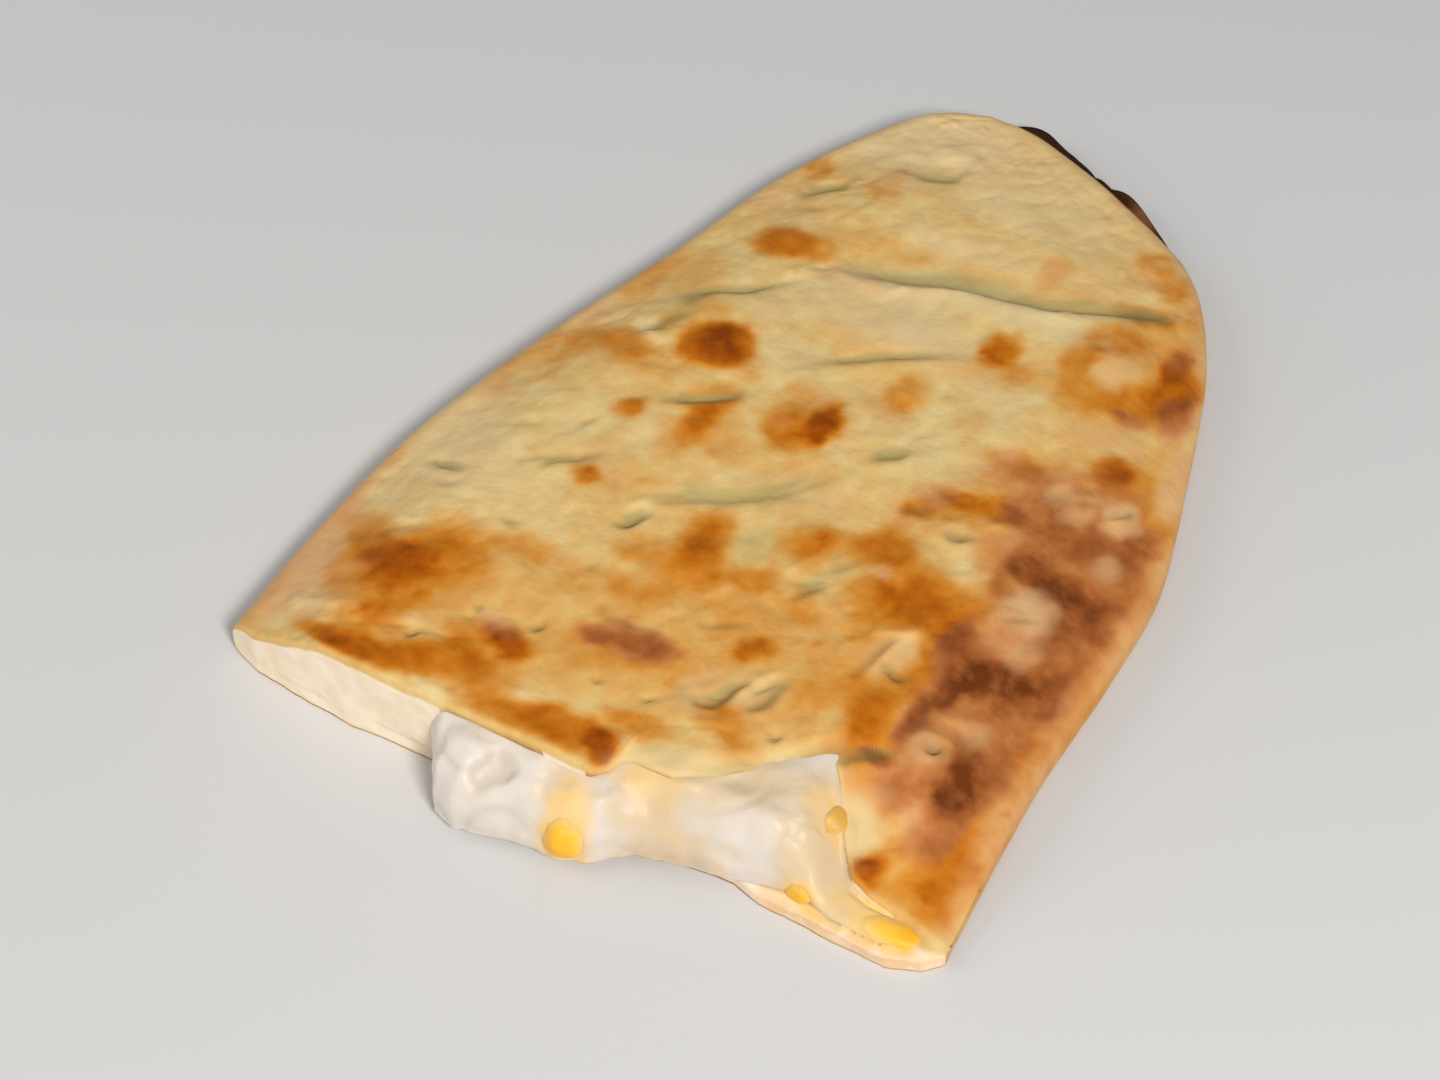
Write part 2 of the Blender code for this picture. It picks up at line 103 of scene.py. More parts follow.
# The marks on the top crust are measured on a level this high, as seen from this eye
MARKS_LEVEL = 10.0
EYE = (159.8, -252.5, 379.6)

# Creases of the top crust: points along it, depth, half width, height of the fold on its near side
CREASES = [
    ([(-10, 113), (0, 116.2), (10, 118.4), (20, 120.4), (30, 123.6), (39, 126.8)], 0.5, 1.6, 0.3),
    ([(-33, 95), (-28, 99.5), (-22, 103)], 0.9, 1.2, 0.4),
    ([(-23, 72), (-19, 74.5), (-14, 78)], 0.9, 1.2, 0.3), ([(-5, 92), (4, 98), (14, 103)], 0.6, 1.2, 0.2),
    ([(-35, 48), (-33, 51), (-30, 54)], 0.7, 1.1, 0.2),
    ([(-20, 50), (-8, 55), (0, 60), (5, 68)], 0.5, 1.4, 0.2), ([(-17, 44), (-15, 49)], 0.8, 1.2, 0.2),
    ([(11, 75), (16, 79)], 0.8, 1.4, 0.2), ([(11.5, 19), (14.5, 24)], 0.9, 1, 0.5),
    ([(17, 22), (20, 27.5)], 0.9, 1, 0.5), ([(-51, 42), (-45, 43.5)], 0.6, 1, 0.2),
    ([(13, 45), (17, 49)], 0.6, 1.1, 0.2), ([(-12, 141), (-4, 143.5)], 0.7, 1.4, -0.4),
    ([(-27, 128), (-21, 132.5)], 0.7, 1.2, 0.2), ([(-38, 83), (-32, 87)], 0.7, 1.2, 0.3),
]

# Long folds, where the near side stands higher than the far side: points, height, half width of the
# slope and how far to each side it dies away
FOLDS = [
    ([(-14, 111.5), (-5, 114), (4, 116.6), (11, 118.2), (20, 119.5), (30, 122.5), (41, 126.8)],
     2.3, 1.7, 8),
    ([(-36, 92), (-30, 97), (-24, 101), (-18, 106)], 1.1, 1.3, 5),
    ([(-26, 70), (-20, 74), (-13, 78.5)], 0.9, 1.2, 4),
    ([(-12, 89), (0, 95), (10, 100.5), (22, 105)], 0.8, 1.5, 5),
    ([(12, 19), (22, 10.5), (34, 17), (43, 22)], 0.8, 1, 3), ([(2, 57), (8, 66), (12, 76)], 0.6, 1.4, 4),
    ([(-20, 144), (-12, 145), (-5, 149.4), (0, 150)], -0.8, 1.2, 4),
]

# Place and width of a crease's fold, in half widths of the crease
FOLD_BESIDE = (2.2, 1.2)

# Creases, folds and finer strokes: points on their curve for each given one, and the share of their
# length at which they are least, with the power by which they grow. Then a stroke's reach in half widths
LINE_STEPS = 6
STROKE_STEPS = 5
LINE_ENDS = (0.02, 0.5)
STROKE_ENDS = (0.08, 0.4)
STROKE_REACH = 3.0

# Blisters of the top crust: across, along, half width across, half width along, height
BLISTERS = [
    (-23, 87, 6.5, 7.5, 0.9), (-1, 77, 6.5, 6.5, 0.9), (-24, 115, 6, 4.5, 0.6), (19, 107, 5.5, 5, 0.7),
    (38, 111, 9, 10, 0.9), (50, 110, 5, 8, 0.5), (-28, 67, 3, 3, 0.5), (-16, 68, 4.5, 4.5, 0.5),
    (-27, 50, 3, 3.5, 0.5), (10, 90, 4.5, 3.5, 0.5), (-4, 43, 6.5, 7.5, 0.8), (12, 55, 4.5, 5.5, 0.6),
    (26, 57, 7, 7, 0.7), (48, 91, 5.5, 4, 0.6), (-44, 22, 9.5, 6, 0.9), (-29, 26, 9, 7, 0.6),
    (-20, 15, 4.5, 3.5, 0.5), (-5, 23, 7.5, 4, 0.7), (14, 30, 4.5, 3.5, 0.5), (-28, 7, 8.5, 5.5, 0.6),
    (3, 4, 4.5, 3.5, 0.5), (15, 14, 4.5, 3.5, 0.4), (35, 28, 4.5, 5.5, 0.6), (47, 55, 6, 7, 1.1),
    (30, 66, 5, 4, 0.8), (46, 82, 4.5, 4, 0.8), (53, 80, 3.5, 4.5, 0.6), (46, 25, 4.5, 4.5, 1),
    (53, 22, 5, 7, 0.7), (44, 39, 6, 6, 0.6), (-8, 148, 6, 3.5, 0.8), (34, 138, 7, 4, 0.5),
]

# Holes baked into the blisters: across, along, half width, depth
PITS = [
    (31, 66, 2.2, 0.9), (46, 25.5, 1.8, 1.1), (47, 56.5, 2.4, 0.6), (-28, 16.5, 1.6, 0.6),
    (24, 17.5, 1.5, 0.6), (41.5, 81.5, 1.5, 0.5), (52, 82, 1.5, 0.6), (-4, 14, 1.2, 0.4),
    (4, 14.5, 1.2, 0.4), (34.5, 36, 1.4, 0.5), (-31.5, 36, 1.3, 0.4), (-33.5, 9, 1.2, 0.5),
    (-17.5, 19, 1.3, 0.5), (-54, 38.5, 1.2, 0.4),
]

# Waves of the dough: width of a wave and its height
WAVES = [(26.0, 0.55), (9.0, 0.3), (4.2, 0.22), (1.9, 0.08)]

# Bends of the relief's marks: how far, the width of the noise and its seeds across and along
RELIEF_BENDS = [(0.9, 6.0, 3.1, 7.7)]

# Small blisters and pores are strewn: seed, count, least and greatest half width and height. Then
# where they are strewn across and along, and how much longer than wide they are
BLISTERS_STREWN = (5, 210, 0.9, 2.4, 0.10, 0.34)
PORES_STREWN = (6, 150, 0.35, 0.8, -0.30, -0.12)
STREWN_ACROSS = (-62, 62)
STREWN_ALONG = (-2, 164)
STREWN_LONGER = (0.8, 1.4)

# Fine wrinkles of the drying skin: the way that they run, how long and how wide apart they are,
# the depth of one, its width as a share of the spacing and the seed of their places
WRINKLES = [
    ((0.87, 0.49), 18.0, 5.0, 0.26, 0.14, 21.5),
    ((0.52, 0.85), 10.0, 4.2, 0.22, 0.14, 33.3),
]

# The wrinkles lie in patches of this width, and the least and the gain of their strength there
WRINKLED_PATCHES = (13.0, 0.2, 2.0)

# Depth at which a groove is wholly in painted greenish shade, and the share of a wrinkle's that counts there
GROOVE_SHADED = 0.8
WRINKLES_SHADED = 0.4

# All marks grow from nothing at the rim to full height this far in
MARKS_FADE = 5.0

# Thin scorched lips of the bottom crust at the tip's right shoulder: from and to across, and reach
LIPS = [(-9.5, 17.0, 3.3), (13.5, 34, 3.0)]

# How far back the lips start, the share of the side's height where they end, how strongly they curl
# up and over what share, the power of their bow, and how ragged they are with the width of it
LIP_DEPTH = 2.5
LIP_ENDS = (0.45, 0.3)
LIP_CURLS = 0.35
LIP_CURLS_OVER = 0.2
LIP_FULLNESS = 0.75
LIP_RAGGED = 0.5
LIP_RAGGED_WIDTH = 9.0

# The filling: its reach inside the pie, as shares of the width and of the length
FILLING_LEFT = 0.142
FILLING_RIGHT = 0.972
FILLING_RIGHT_INSIDE = 0.91
FILLING_NARROWS_BY = 0.15
FILLING_TIP = 0.8

# The filling's height at its side, its least height above that, how far in it is full,
# and how many times sooner at the right
FILLING_EDGE = 1.0
FILLING_LEAST = 0.2
FILLING_RISE = 15.0
FILLING_RISE_RIGHT = 3.0

# Front of the cheese as it bulges from the cut, and how far back its round front reaches
CHEESE_FRONT = [
    (-44, -3.2), (-37, -3.9), (-23.2, -3.8), (-21, -6.6), (-19.2, -10.6), (-16.8, -13.8), (-12.6, -15.4),
    (-9, -14.8), (-4, -13), (0, -12.6), (4, -13), (8, -11.3), (11, -8.4), (14, -6.8), (20, -5.8),
    (28, -4.6), (34, -3.2), (39, -2.6), (44, -4.3), (52, -5), (58, -3.6)
]
CHEESE_ROUND = [
    (-44, 0.25), (-23.4, 0.3), (-21.6, 5), (-17.6, 9), (-10, 12), (24, 11), (36, 8), (42, 3), (58, 2)
]

# The bulge's lowest level, the height and share of height of its foremost line, and the round and
# rise under that line
CHEESE_LOW = 0.5
CHEESE_MIDDLE = 4.4
CHEESE_MIDDLE_SHARE = 0.45
CHEESE_UNDER_ROUND = 3.2
CHEESE_UNDER_RISE = 0.85

# Where behind the edge of the top crust, and of the bottom crust, the cheese begins to be held by it
HELD_BY_TOP = (-1.5, 3.0)
HELD_BY_BOTTOM = (-2.4, 2.0)

# Lobes and hollows of the bulging cheese: across, along, half width, height
LOBES = [
    (-14, -9, 5, 1.5), (-12, -13, 4, 0.9), (-7.5, -8.5, 3.4, -2.2), (-9.5, -11.5, 2.6, -1.6),
    (-3, -11, 4, 1.1), (-3, -6, 3, 0.6), (2, -5, 3.6, -0.9), (9.5, -8, 4.6, 1.5), (15, -4, 3.4, -0.8),
    (19, -1, 4.4, 0.8), (24, -4.5, 3.2, -0.7), (25, 5, 4, -0.8), (31.5, -0.5, 4.8, 1.3), (30, 10, 4, 0.5),
    (37, 5.5, 2.8, -0.9),
]

# Waves of the bulging cheese, as of the dough
CHEESE_WAVES = [(7.0, 0.6), (3.4, 0.22)]

# Unevenness of the bits of yellow cheese: how fine it is, its share of the size and its seed
BIT_BUMPS = [(1.3, 0.16, 0.0), (5.0, 0.03, 2.0)]

# Bits of yellow cheese: across, along, height of the middle, half sizes across, along and up
YELLOW_BITS = [
    (4.2, -11.4, 6.2, 3.1, 2.8, 3.5), (38.4, -2.3, 3.7, 2.1, 1.7, 1.5), (37.8, 7.2, 9.9, 3, 2.3, 1.25),
    (52.6, -2.6, 3.45, 4.2, 2, 1),
]

# How much wider the bits have melted, the way that each one faces out of the white cheese, how dull
# its yellow is, and how much less dull at its edge
MELTED_WIDER = 1.10
BITS_FACE = [(0.1, -0.82, 0.56), (0.0, -0.5, 0.87), (0.1, -0.3, 0.95), (0.0, -0.25, 0.97)]
BITS_DULL = [0.0, 0.4, 0.9, 0.0]
EDGE_LESS_DULL = 0.3

# How far and how strongly each bit's colour runs out into the white cheese, and the share of its
# height above the white cheese that it fades over
MELTS_OUT = [(1.8, 0.72), (1.6, 0.70), (1.2, 0.40), (3.6, 0.72)]
MELTS_IN = 0.9

# How fast the cut's bow fades along the pie, and the last row this near to the tip
FRONT_FADE = 3.0
LAST_ROW = 0.995

# Golden and brown spots of the top crust: across, along, half width, half length, strength and
# how soft the edge is, as a share of the half width
BROWNED = [
    (-20.6, 88.2, 4.4, 4.4, 0.8, 0.8), (-24, 85.8, 4.6, 5.2, 0.76, 0.8), (-30, 89, 2.6, 5, 0.22, 1.1),
    (0, 72.6, 3.4, 2.4, 0.28, 1.1), (-18, 62, 2.6, 2.6, 0.24, 1.1), (-16, 76, 3, 3, 0.22, 1.1),
    (34, 114, 2.4, 2.4, 0.24, 1.1), (34, 133.6, 2.6, 2.4, 0.24, 1.1), (-51, 63, 3, 5, 0.2, 1.1),
    (48, 6.4, 2.6, 4, 0.3, 1.1), (60.5, 30, 5, 32, 0.24, 1), (60, 6, 4, 9, 0.16, 1.1),
    (-22, 86.2, 3, 3.4, 0.4, 1), (1.6, 77.4, 2.8, 5.2, 0.9, 0.9), (-3.6, 74.2, 4.2, 4.4, 0.62, 0.9),
    (-1, 80, 5.6, 4.6, 0.34, 1.2), (-24.5, 114, 4.8, 3.8, 0.7, 1), (-19, 116, 3.4, 3, 0.36, 1),
    (-6.5, 121, 5.4, 4.4, 0.14, 1.2), (19.2, 107.4, 3.8, 4.2, 0.76, 1), (25, 103.2, 3.8, 3, 0.44, 1.2),
    (31.6, 112, 2.8, 7, 0.36, 1.2), (36, 119, 5, 3.2, 0.4, 1.1), (43, 105.6, 4.4, 5, 0.56, 1.3),
    (35, 103.4, 5, 4, 0.36, 1.2), (37.5, 111.5, 9, 11, 0.22, 0.7), (48.6, 111, 3.8, 8, 0.78, 1.2),
    (46.4, 117, 2.4, 4, 0.5, 1.2), (19.4, 129, 3, 4, 0.46, 1), (33.5, 138.4, 4.4, 3, 0.46, 1.1),
    (38.8, 134.5, 3.4, 3.2, 0.52, 1.1), (43.5, 128, 5, 8, 0.28, 1.2), (36.5, 126, 5, 2.2, 0.75, 1),
    (-27.6, 134, 2.8, 4, 0.4, 1), (-16, 136, 3.6, 5, 0.34, 1.1), (-41, 97, 3.4, 7, 0.26, 1.1),
    (-28, 94.4, 4.6, 2.4, 0.36, 1.1), (-33, 100, 5, 5, 0.22, 1.2), (-42.6, 77, 3.2, 3.2, 0.3, 1.1),
    (-36.6, 79.6, 4.6, 3.4, 0.5, 1), (-28.8, 66.6, 2.5, 2.6, 0.6, 1.1), (-16.6, 68.6, 2.8, 5, 0.66, 1.2),
    (-17.6, 75, 3.4, 4.6, 0.46, 1.1), (-15.5, 84, 3.4, 4, 0.25, 1.2), (0, 67, 6, 5, 0.2, 1.2),
    (32, 68, 7, 4, 0.34, 1.2), (30, 78, 4.4, 3, 0.3, 1.2), (44, 96, 8, 6, 0.2, 1.2),
    (55, 95, 5, 6, 0.25, 1.2), (57, 82.6, 5, 3.6, 0.36, 1.2), (-3, 20, 26, 10, 0.22, 1),
    (-6, 19.4, 7, 3.6, 0.32, 1.1), (20, 30, 18, 12, 0.15, 1), (-48, 16, 4, 4, 0.3, 1.2),
    (36.4, 23, 4.2, 4.4, 0.56, 1.1), (34, 18.6, 3, 2.4, 0.4, 1.1), (-9.5, 65.4, 4, 3, 0.26, 1.2),
    (-27.2, 50.6, 2.1, 2.8, 0.6, 1.1), (10.4, 91, 4, 4, 0.5, 1), (9, 86.5, 4, 3, 0.3, 1.2),
    (22, 89.4, 3.4, 3.4, 0.26, 1.2), (-4, 47, 3.6, 5.6, 0.72, 1.2), (-2.6, 39.4, 6, 5, 0.46, 1.2),
    (-5, 41, 9, 9, 0.22, 1), (4, 122.5, 12, 2.8, 0.12, 1), (57, 8, 4, 4.4, 0.34, 1.1),
    (28, 43, 5, 3.4, 0.32, 1.1), (17, 41.6, 3.4, 3, 0.3, 1.1), (34, 54, 3, 3, 0.36, 1.1),
    (26, 26, 4, 3.4, 0.28, 1.1), (42, 25.5, 2.4, 2.4, 0.3, 1.1), (-37, 6, 6, 3, 0.3, 1.1),
    (-43, 7.4, 5, 3.4, 0.46, 1.1), (-26, 13.6, 3.4, 2.6, 0.46, 1.1), (-49, 21.6, 3, 3, 0.34, 1.1),
    (38.4, 114, 3, 3, 0.2, 1.1), (43.5, 117, 4.4, 4, 0.26, 1.1), (20, 102, 4.4, 3, 0.3, 1.1),
    (46, 86, 3, 3, 0.24, 1.1), (34, 70.5, 4, 2.4, 0.26, 1.1), (-46, 72, 3, 5, 0.24, 1.1),
    (38, 42, 3, 3, 0.3, 1.1), (34, 46, 3.4, 3, 0.28, 1.1), (-28.5, 79, 4, 3, 0.26, 1.1),
    (-12.5, 40, 4, 4, 0.28, 1.2), (6.8, 42.6, 3.4, 3, 0.5, 1), (11, 53.4, 3.8, 5, 0.66, 1.2),
    (15.4, 56, 4, 3.4, 0.34, 1), (22.5, 58.4, 4.4, 5, 0.62, 1.2), (29, 53, 7.2, 5.6, 0.54, 1.2),
    (34, 48.6, 8, 4, 0.6, 1.2), (39, 50, 3.2, 7, 0.6, 1.3), (24.6, 48, 6, 4, 0.38, 1),
    (20, 37, 14, 9, 0.16, 1.2), (30, 36, 8, 9, 0.08, 1.2), (13.8, 30, 2.8, 2.4, 0.66, 1),
    (34.6, 27.4, 3.4, 5, 0.54, 1.2), (39, 36, 4, 5, 0.5, 1.2), (46, 31, 4, 3, 0.4, 1.2),
    (44, 26, 4, 4, 0.4, 1.2), (42, 14, 5, 4, 0.3, 1.2), (32.4, 31, 4.4, 3.4, 0.22, 1.1),
    (26, 30, 6, 6, 0.12, 1.2), (-43.8, 20.6, 4.6, 4.6, 0.93, 1.2), (-52, 23.6, 4.4, 4.6, 0.42, 1.1),
    (-35.5, 25.4, 6, 6.2, 0.52, 1.2), (-41, 26, 5, 3.6, 0.46, 1), (-38.4, 31.6, 4, 3.2, 0.26, 1),
    (-39, 21.6, 2.6, 2.4, 0.5, 1.1), (-28, 32, 5.6, 2.8, 0.44, 1), (-24, 26, 8, 5, 0.16, 1.2),
    (-47, 14.5, 6, 5.6, 0.44, 1.1), (-39.6, 15.6, 5, 5.4, 0.52, 1), (-33, 15.4, 4.4, 4.4, 0.22, 1.2),
    (-39, 2.4, 6.6, 2.6, 0.8, 0.9), (-46, 2.4, 4.6, 2, 0.6, 1), (-31, 5.2, 3.6, 3.2, 0.66, 1),
    (-25.4, 7.6, 5.4, 4, 0.56, 1), (-40, 10, 5, 2.4, 0.4, 1.1), (-21, 6.4, 7.4, 5.2, 0.4, 1),
    (-13.5, 2, 6, 3.4, 0.6, 1), (-19.6, 13.8, 4, 2.8, 0.8, 1.1), (-4.6, 3.8, 7.4, 3.6, 0.7, 0.9),
    (2.4, 2.6, 2.6, 3.4, 0.9, 0.9), (5.4, 9.2, 6, 2.4, 0.5, 1), (-15, 31.4, 5.4, 3, 0.3, 1.2),
    (-6.4, 31.6, 4.6, 3.4, 0.26, 1.1), (16.4, 15.4, 4, 3, 0.4, 1.2), (20.5, 12.4, 3.6, 2.8, 0.3, 1.1),
    (47.4, 90.4, 3.4, 3.2, 0.74, 1.1), (50.6, 88, 4, 3.4, 0.44, 1.2), (32.4, 84.4, 5.4, 3, 0.5, 1),
    (29, 73.2, 4, 2.2, 0.72, 1.1), (35.4, 74, 4, 3.4, 0.64, 0.9), (23, 68.6, 2.4, 2.2, 0.6, 1.1),
    (42, 61.4, 2.6, 4.4, 0.6, 1), (37.4, 64, 2.4, 3, 0.3, 1), (40.5, 15.6, 6.4, 4.4, 0.38, 1.1),
    (46.8, 0.4, 3.2, 4, 0.84, 1), (56.2, 7, 5.4, 7.4, 0.44, 1), (56, -1, 7, 5, 0.46, 1),
    (58.5, 40, 4, 12, 0.26, 1), (56, 34, 8, 26, 0.14, 1), (61, 50, 4, 40, 0.24, 1),
    (50, 70, 10, 10, 0.2, 1.1), (-16, 69, 6, 6, 0.25, 1.2), (-59, 24, 3.4, 24, 0.36, 1.2),
    (-51, 76, 3, 18, 0.26, 1.2), (56, 66, 6, 16, 0.3, 1),
]

# Darker, purplish brown spots of the top crust, in the same order
SCORCHED = [
    (-2.6, 23.2, 5.6, 3.4, 0.76, 1.2), (-9, 21.2, 2.6, 1.8, 0.66, 1.1), (-22.4, 16, 3.6, 2.4, 0.36, 1),
    (40.6, 77, 4.6, 6, 0.52, 1.3), (46.5, 73, 5, 4.4, 0.56, 1.3), (36, 82, 8, 5, 0.3, 1.1),
    (46, 85, 9, 6, 0.22, 1.2), (57.4, 76, 2.6, 5.4, 0.56, 1.3), (46, 46, 3, 3, 0.3, 1.1),
    (54, 30, 2.6, 3, 0.24, 1.1), (51.4, 78, 5, 4, 0.2, 1.1), (38, 78, 3, 3, 0.3, 1.1),
    (46.5, 119, 3, 3.6, 0.3, 1.1), (50.5, 106, 2.8, 3.4, 0.34, 1.1), (22, 66, 3, 2.4, 0.2, 1.1),
    (50.4, 38.4, 3.6, 3, 0.46, 1.2), (57.5, 42, 2.8, 3.6, 0.28, 1.1), (43.6, 66, 4, 4, 0.66, 1.3),
    (49.4, 62.8, 5, 2.9, 0.92, 1.2), (55.4, 59.8, 4, 4.8, 0.76, 1.3), (55.4, 52, 5.4, 8, 0.3, 1),
    (51.6, 50, 2.6, 5, 0.24, 1), (48.8, 42.4, 5.8, 4, 0.96, 1.1), (43.4, 37.6, 2.8, 5.6, 0.92, 1.1),
    (40.8, 45, 2.6, 6, 0.62, 1.2), (56, 42, 4.6, 5, 0.4, 1.1), (51, 36, 6, 5, 0.34, 1.1),
    (41.2, 29.4, 2, 4, 0.74, 0.9), (39, 20.6, 3, 1.5, 0.76, 0.8), (52.8, 19.8, 4.2, 5.2, 0.95, 1.2),
    (50.8, 25.8, 3, 4, 0.66, 1.3), (55.6, 24, 3, 5, 0.46, 1.3), (53, 12, 3.6, 6, 0.5, 1.3),
    (45, 17.4, 5, 4, 0.36, 1.1), (24.6, 72.6, 3.4, 3.4, 0.34, 1), (50, 66, 12, 16, 0.4, 1),
    (49, 34, 9, 22, 0.42, 1), (52, 106.4, 2.8, 6, 0.36, 1), (45, 101.8, 3.2, 2, 0.42, 1),
    (-27.6, 128, 2.6, 1.6, 0.26, 0.9),
]

# Pinkish, hardly baked dough on the rim and between blisters, in the same order
PINKISH = [
    (61, 26, 2.6, 26, 0.7, 1.1), (62.5, 66, 2.6, 22, 0.5, 1.1), (57.5, 94, 3.4, 10, 0.5, 1.1),
    (44, 96, 9, 4, 0.36, 1), (46.6, 31.4, 3.4, 3, 0.3, 1.2), (44, 26, 4, 4.6, 0.34, 1.2),
    (47, 50, 3.4, 4, 0.4, 1.2), (41, 14.6, 5, 3.4, 0.34, 1.2), (-56.5, 18, 3.6, 16, 0.6, 1),
    (-51, 13, 5, 6, 0.46, 1), (-53, 5, 6, 3.6, 0.4, 1), (-27, 122, 9, 6, 0.42, 1),
    (-9, 111, 10, 3, 0.46, 1), (-5, 75.4, 2.2, 2, 0.4, 0.9), (31, 38, 3, 4.4, 0.4, 1),
    (36, 66, 4, 5, 0.4, 1), (-24.6, 17, 3.4, 2.4, 0.5, 0.9), (-44, 84, 3, 4, 0.6, 1),
    (16, 97, 8, 3.6, 0.26, 1),
]

# Pale tops of blisters and folds, in the same order: partly paler dough and partly painted highlight where
# they face the light
PALE_AND_LIT = [
    (47.8, 56.8, 4.2, 4, 0.5, 1.2), (50, 31, 2.4, 2.6, 0.24, 1.2), (-8, 153, 9, 5, 0.75, 1.1),
    (6, 150, 10, 5, 0.3, 1.1), (54, 70, 2.4, 2.4, 0.3, 1.1), (46, 78, 2.4, 2.4, 0.26, 1.1),
    (30, 86, 2.6, 2.4, 0.3, 1.1), (30.9, 66, 3, 2.4, 0.36, 1), (35.6, 70.4, 3, 1.2, 0.16, 1.1),
    (50.4, 48.6, 2.8, 2.8, 0.26, 1.2), (45.4, 25.4, 2.6, 2.6, 0.28, 1), (41.6, 82, 2.8, 2.6, 0.3, 0.9),
    (52.4, 81, 2.8, 3.4, 0.46, 0.8), (38.4, 111.6, 3.2, 4, 0.44, 1.2), (33.6, 40.6, 2.2, 4, 0.34, 1.2),
    (23.4, 53.2, 2.2, 1.2, 0.36, 0.9), (8.6, 2.4, 3, 3, 0.4, 1.1), (14, 3.4, 7, 4, 0.3, 1.1),
    (41.4, 7, 3.6, 7, 0.34, 1.2), (42.6, 0.6, 2.4, 4, 0.3, 1.2), (-8, 147, 5, 2.4, 0.7, 0.9),
    (-51, 48, 7, 16, 0.5, 1.1), (-36, 40, 9, 7, 0.3, 1.1), (6, 127, 16, 4, 0.45, 1.1),
    (28, 130, 10, 4, 0.25, 1.1), (2, 101, 14, 4, 0.3, 1.1),
]

# Painted greyish green shade in hollows of the dough, in the same order
HOLLOW_SHADES = [
    (11, 5.6, 4.4, 2.4, 0.5, 0.9), (4, 50, 4.6, 5, 0.4, 1), (17.5, 51.6, 2.4, 2, 0.4, 1),
    (-9, 56.6, 5, 1.8, 0.4, 1), (-31, 92, 2.6, 4, 0.4, 1), (4, 57.6, 4, 3, 0.3, 1),
    (27.6, 122.4, 4.4, 2.4, 0.45, 0.9), (30.4, 65.4, 2.4, 2.4, 0.35, 1),
]

# Paler, greenish cream dough between the golden bands, in the same order
VEILED = [
    (-6, 106, 12, 6, 0.65, 1), (8, 106, 9, 5, 0.7, 1), (20, 117, 20, 3.6, 0.75, 1),
    (0, 112.5, 10, 3, 0.6, 1), (24, 100, 6, 4, 0.3, 1), (-20, 99, 7, 4, 0.45, 1), (-16, 144, 8, 7, 0.6, 1),
    (4, 146, 14, 7, 0.3, 1), (16, 140, 12, 6, 0.35, 1), (-10, 90, 8, 5, 0.4, 1), (6, 84, 8, 5, 0.3, 1),
    (23, 92, 8, 6, 0.3, 1), (22, 80, 9, 4, 0.4, 1), (3, 62, 10, 4, 0.35, 1), (-44, 46, 9, 8, 0.4, 1),
    (-30, 60, 10, 8, 0.3, 1), (16, 22, 5, 5, 0.5, 1), (20, 6, 8, 3, 0.6, 1), (42, 6, 4, 6, 0.6, 1.1),
    (10.6, 18.6, 3.4, 4, 0.5, 1.1),
]
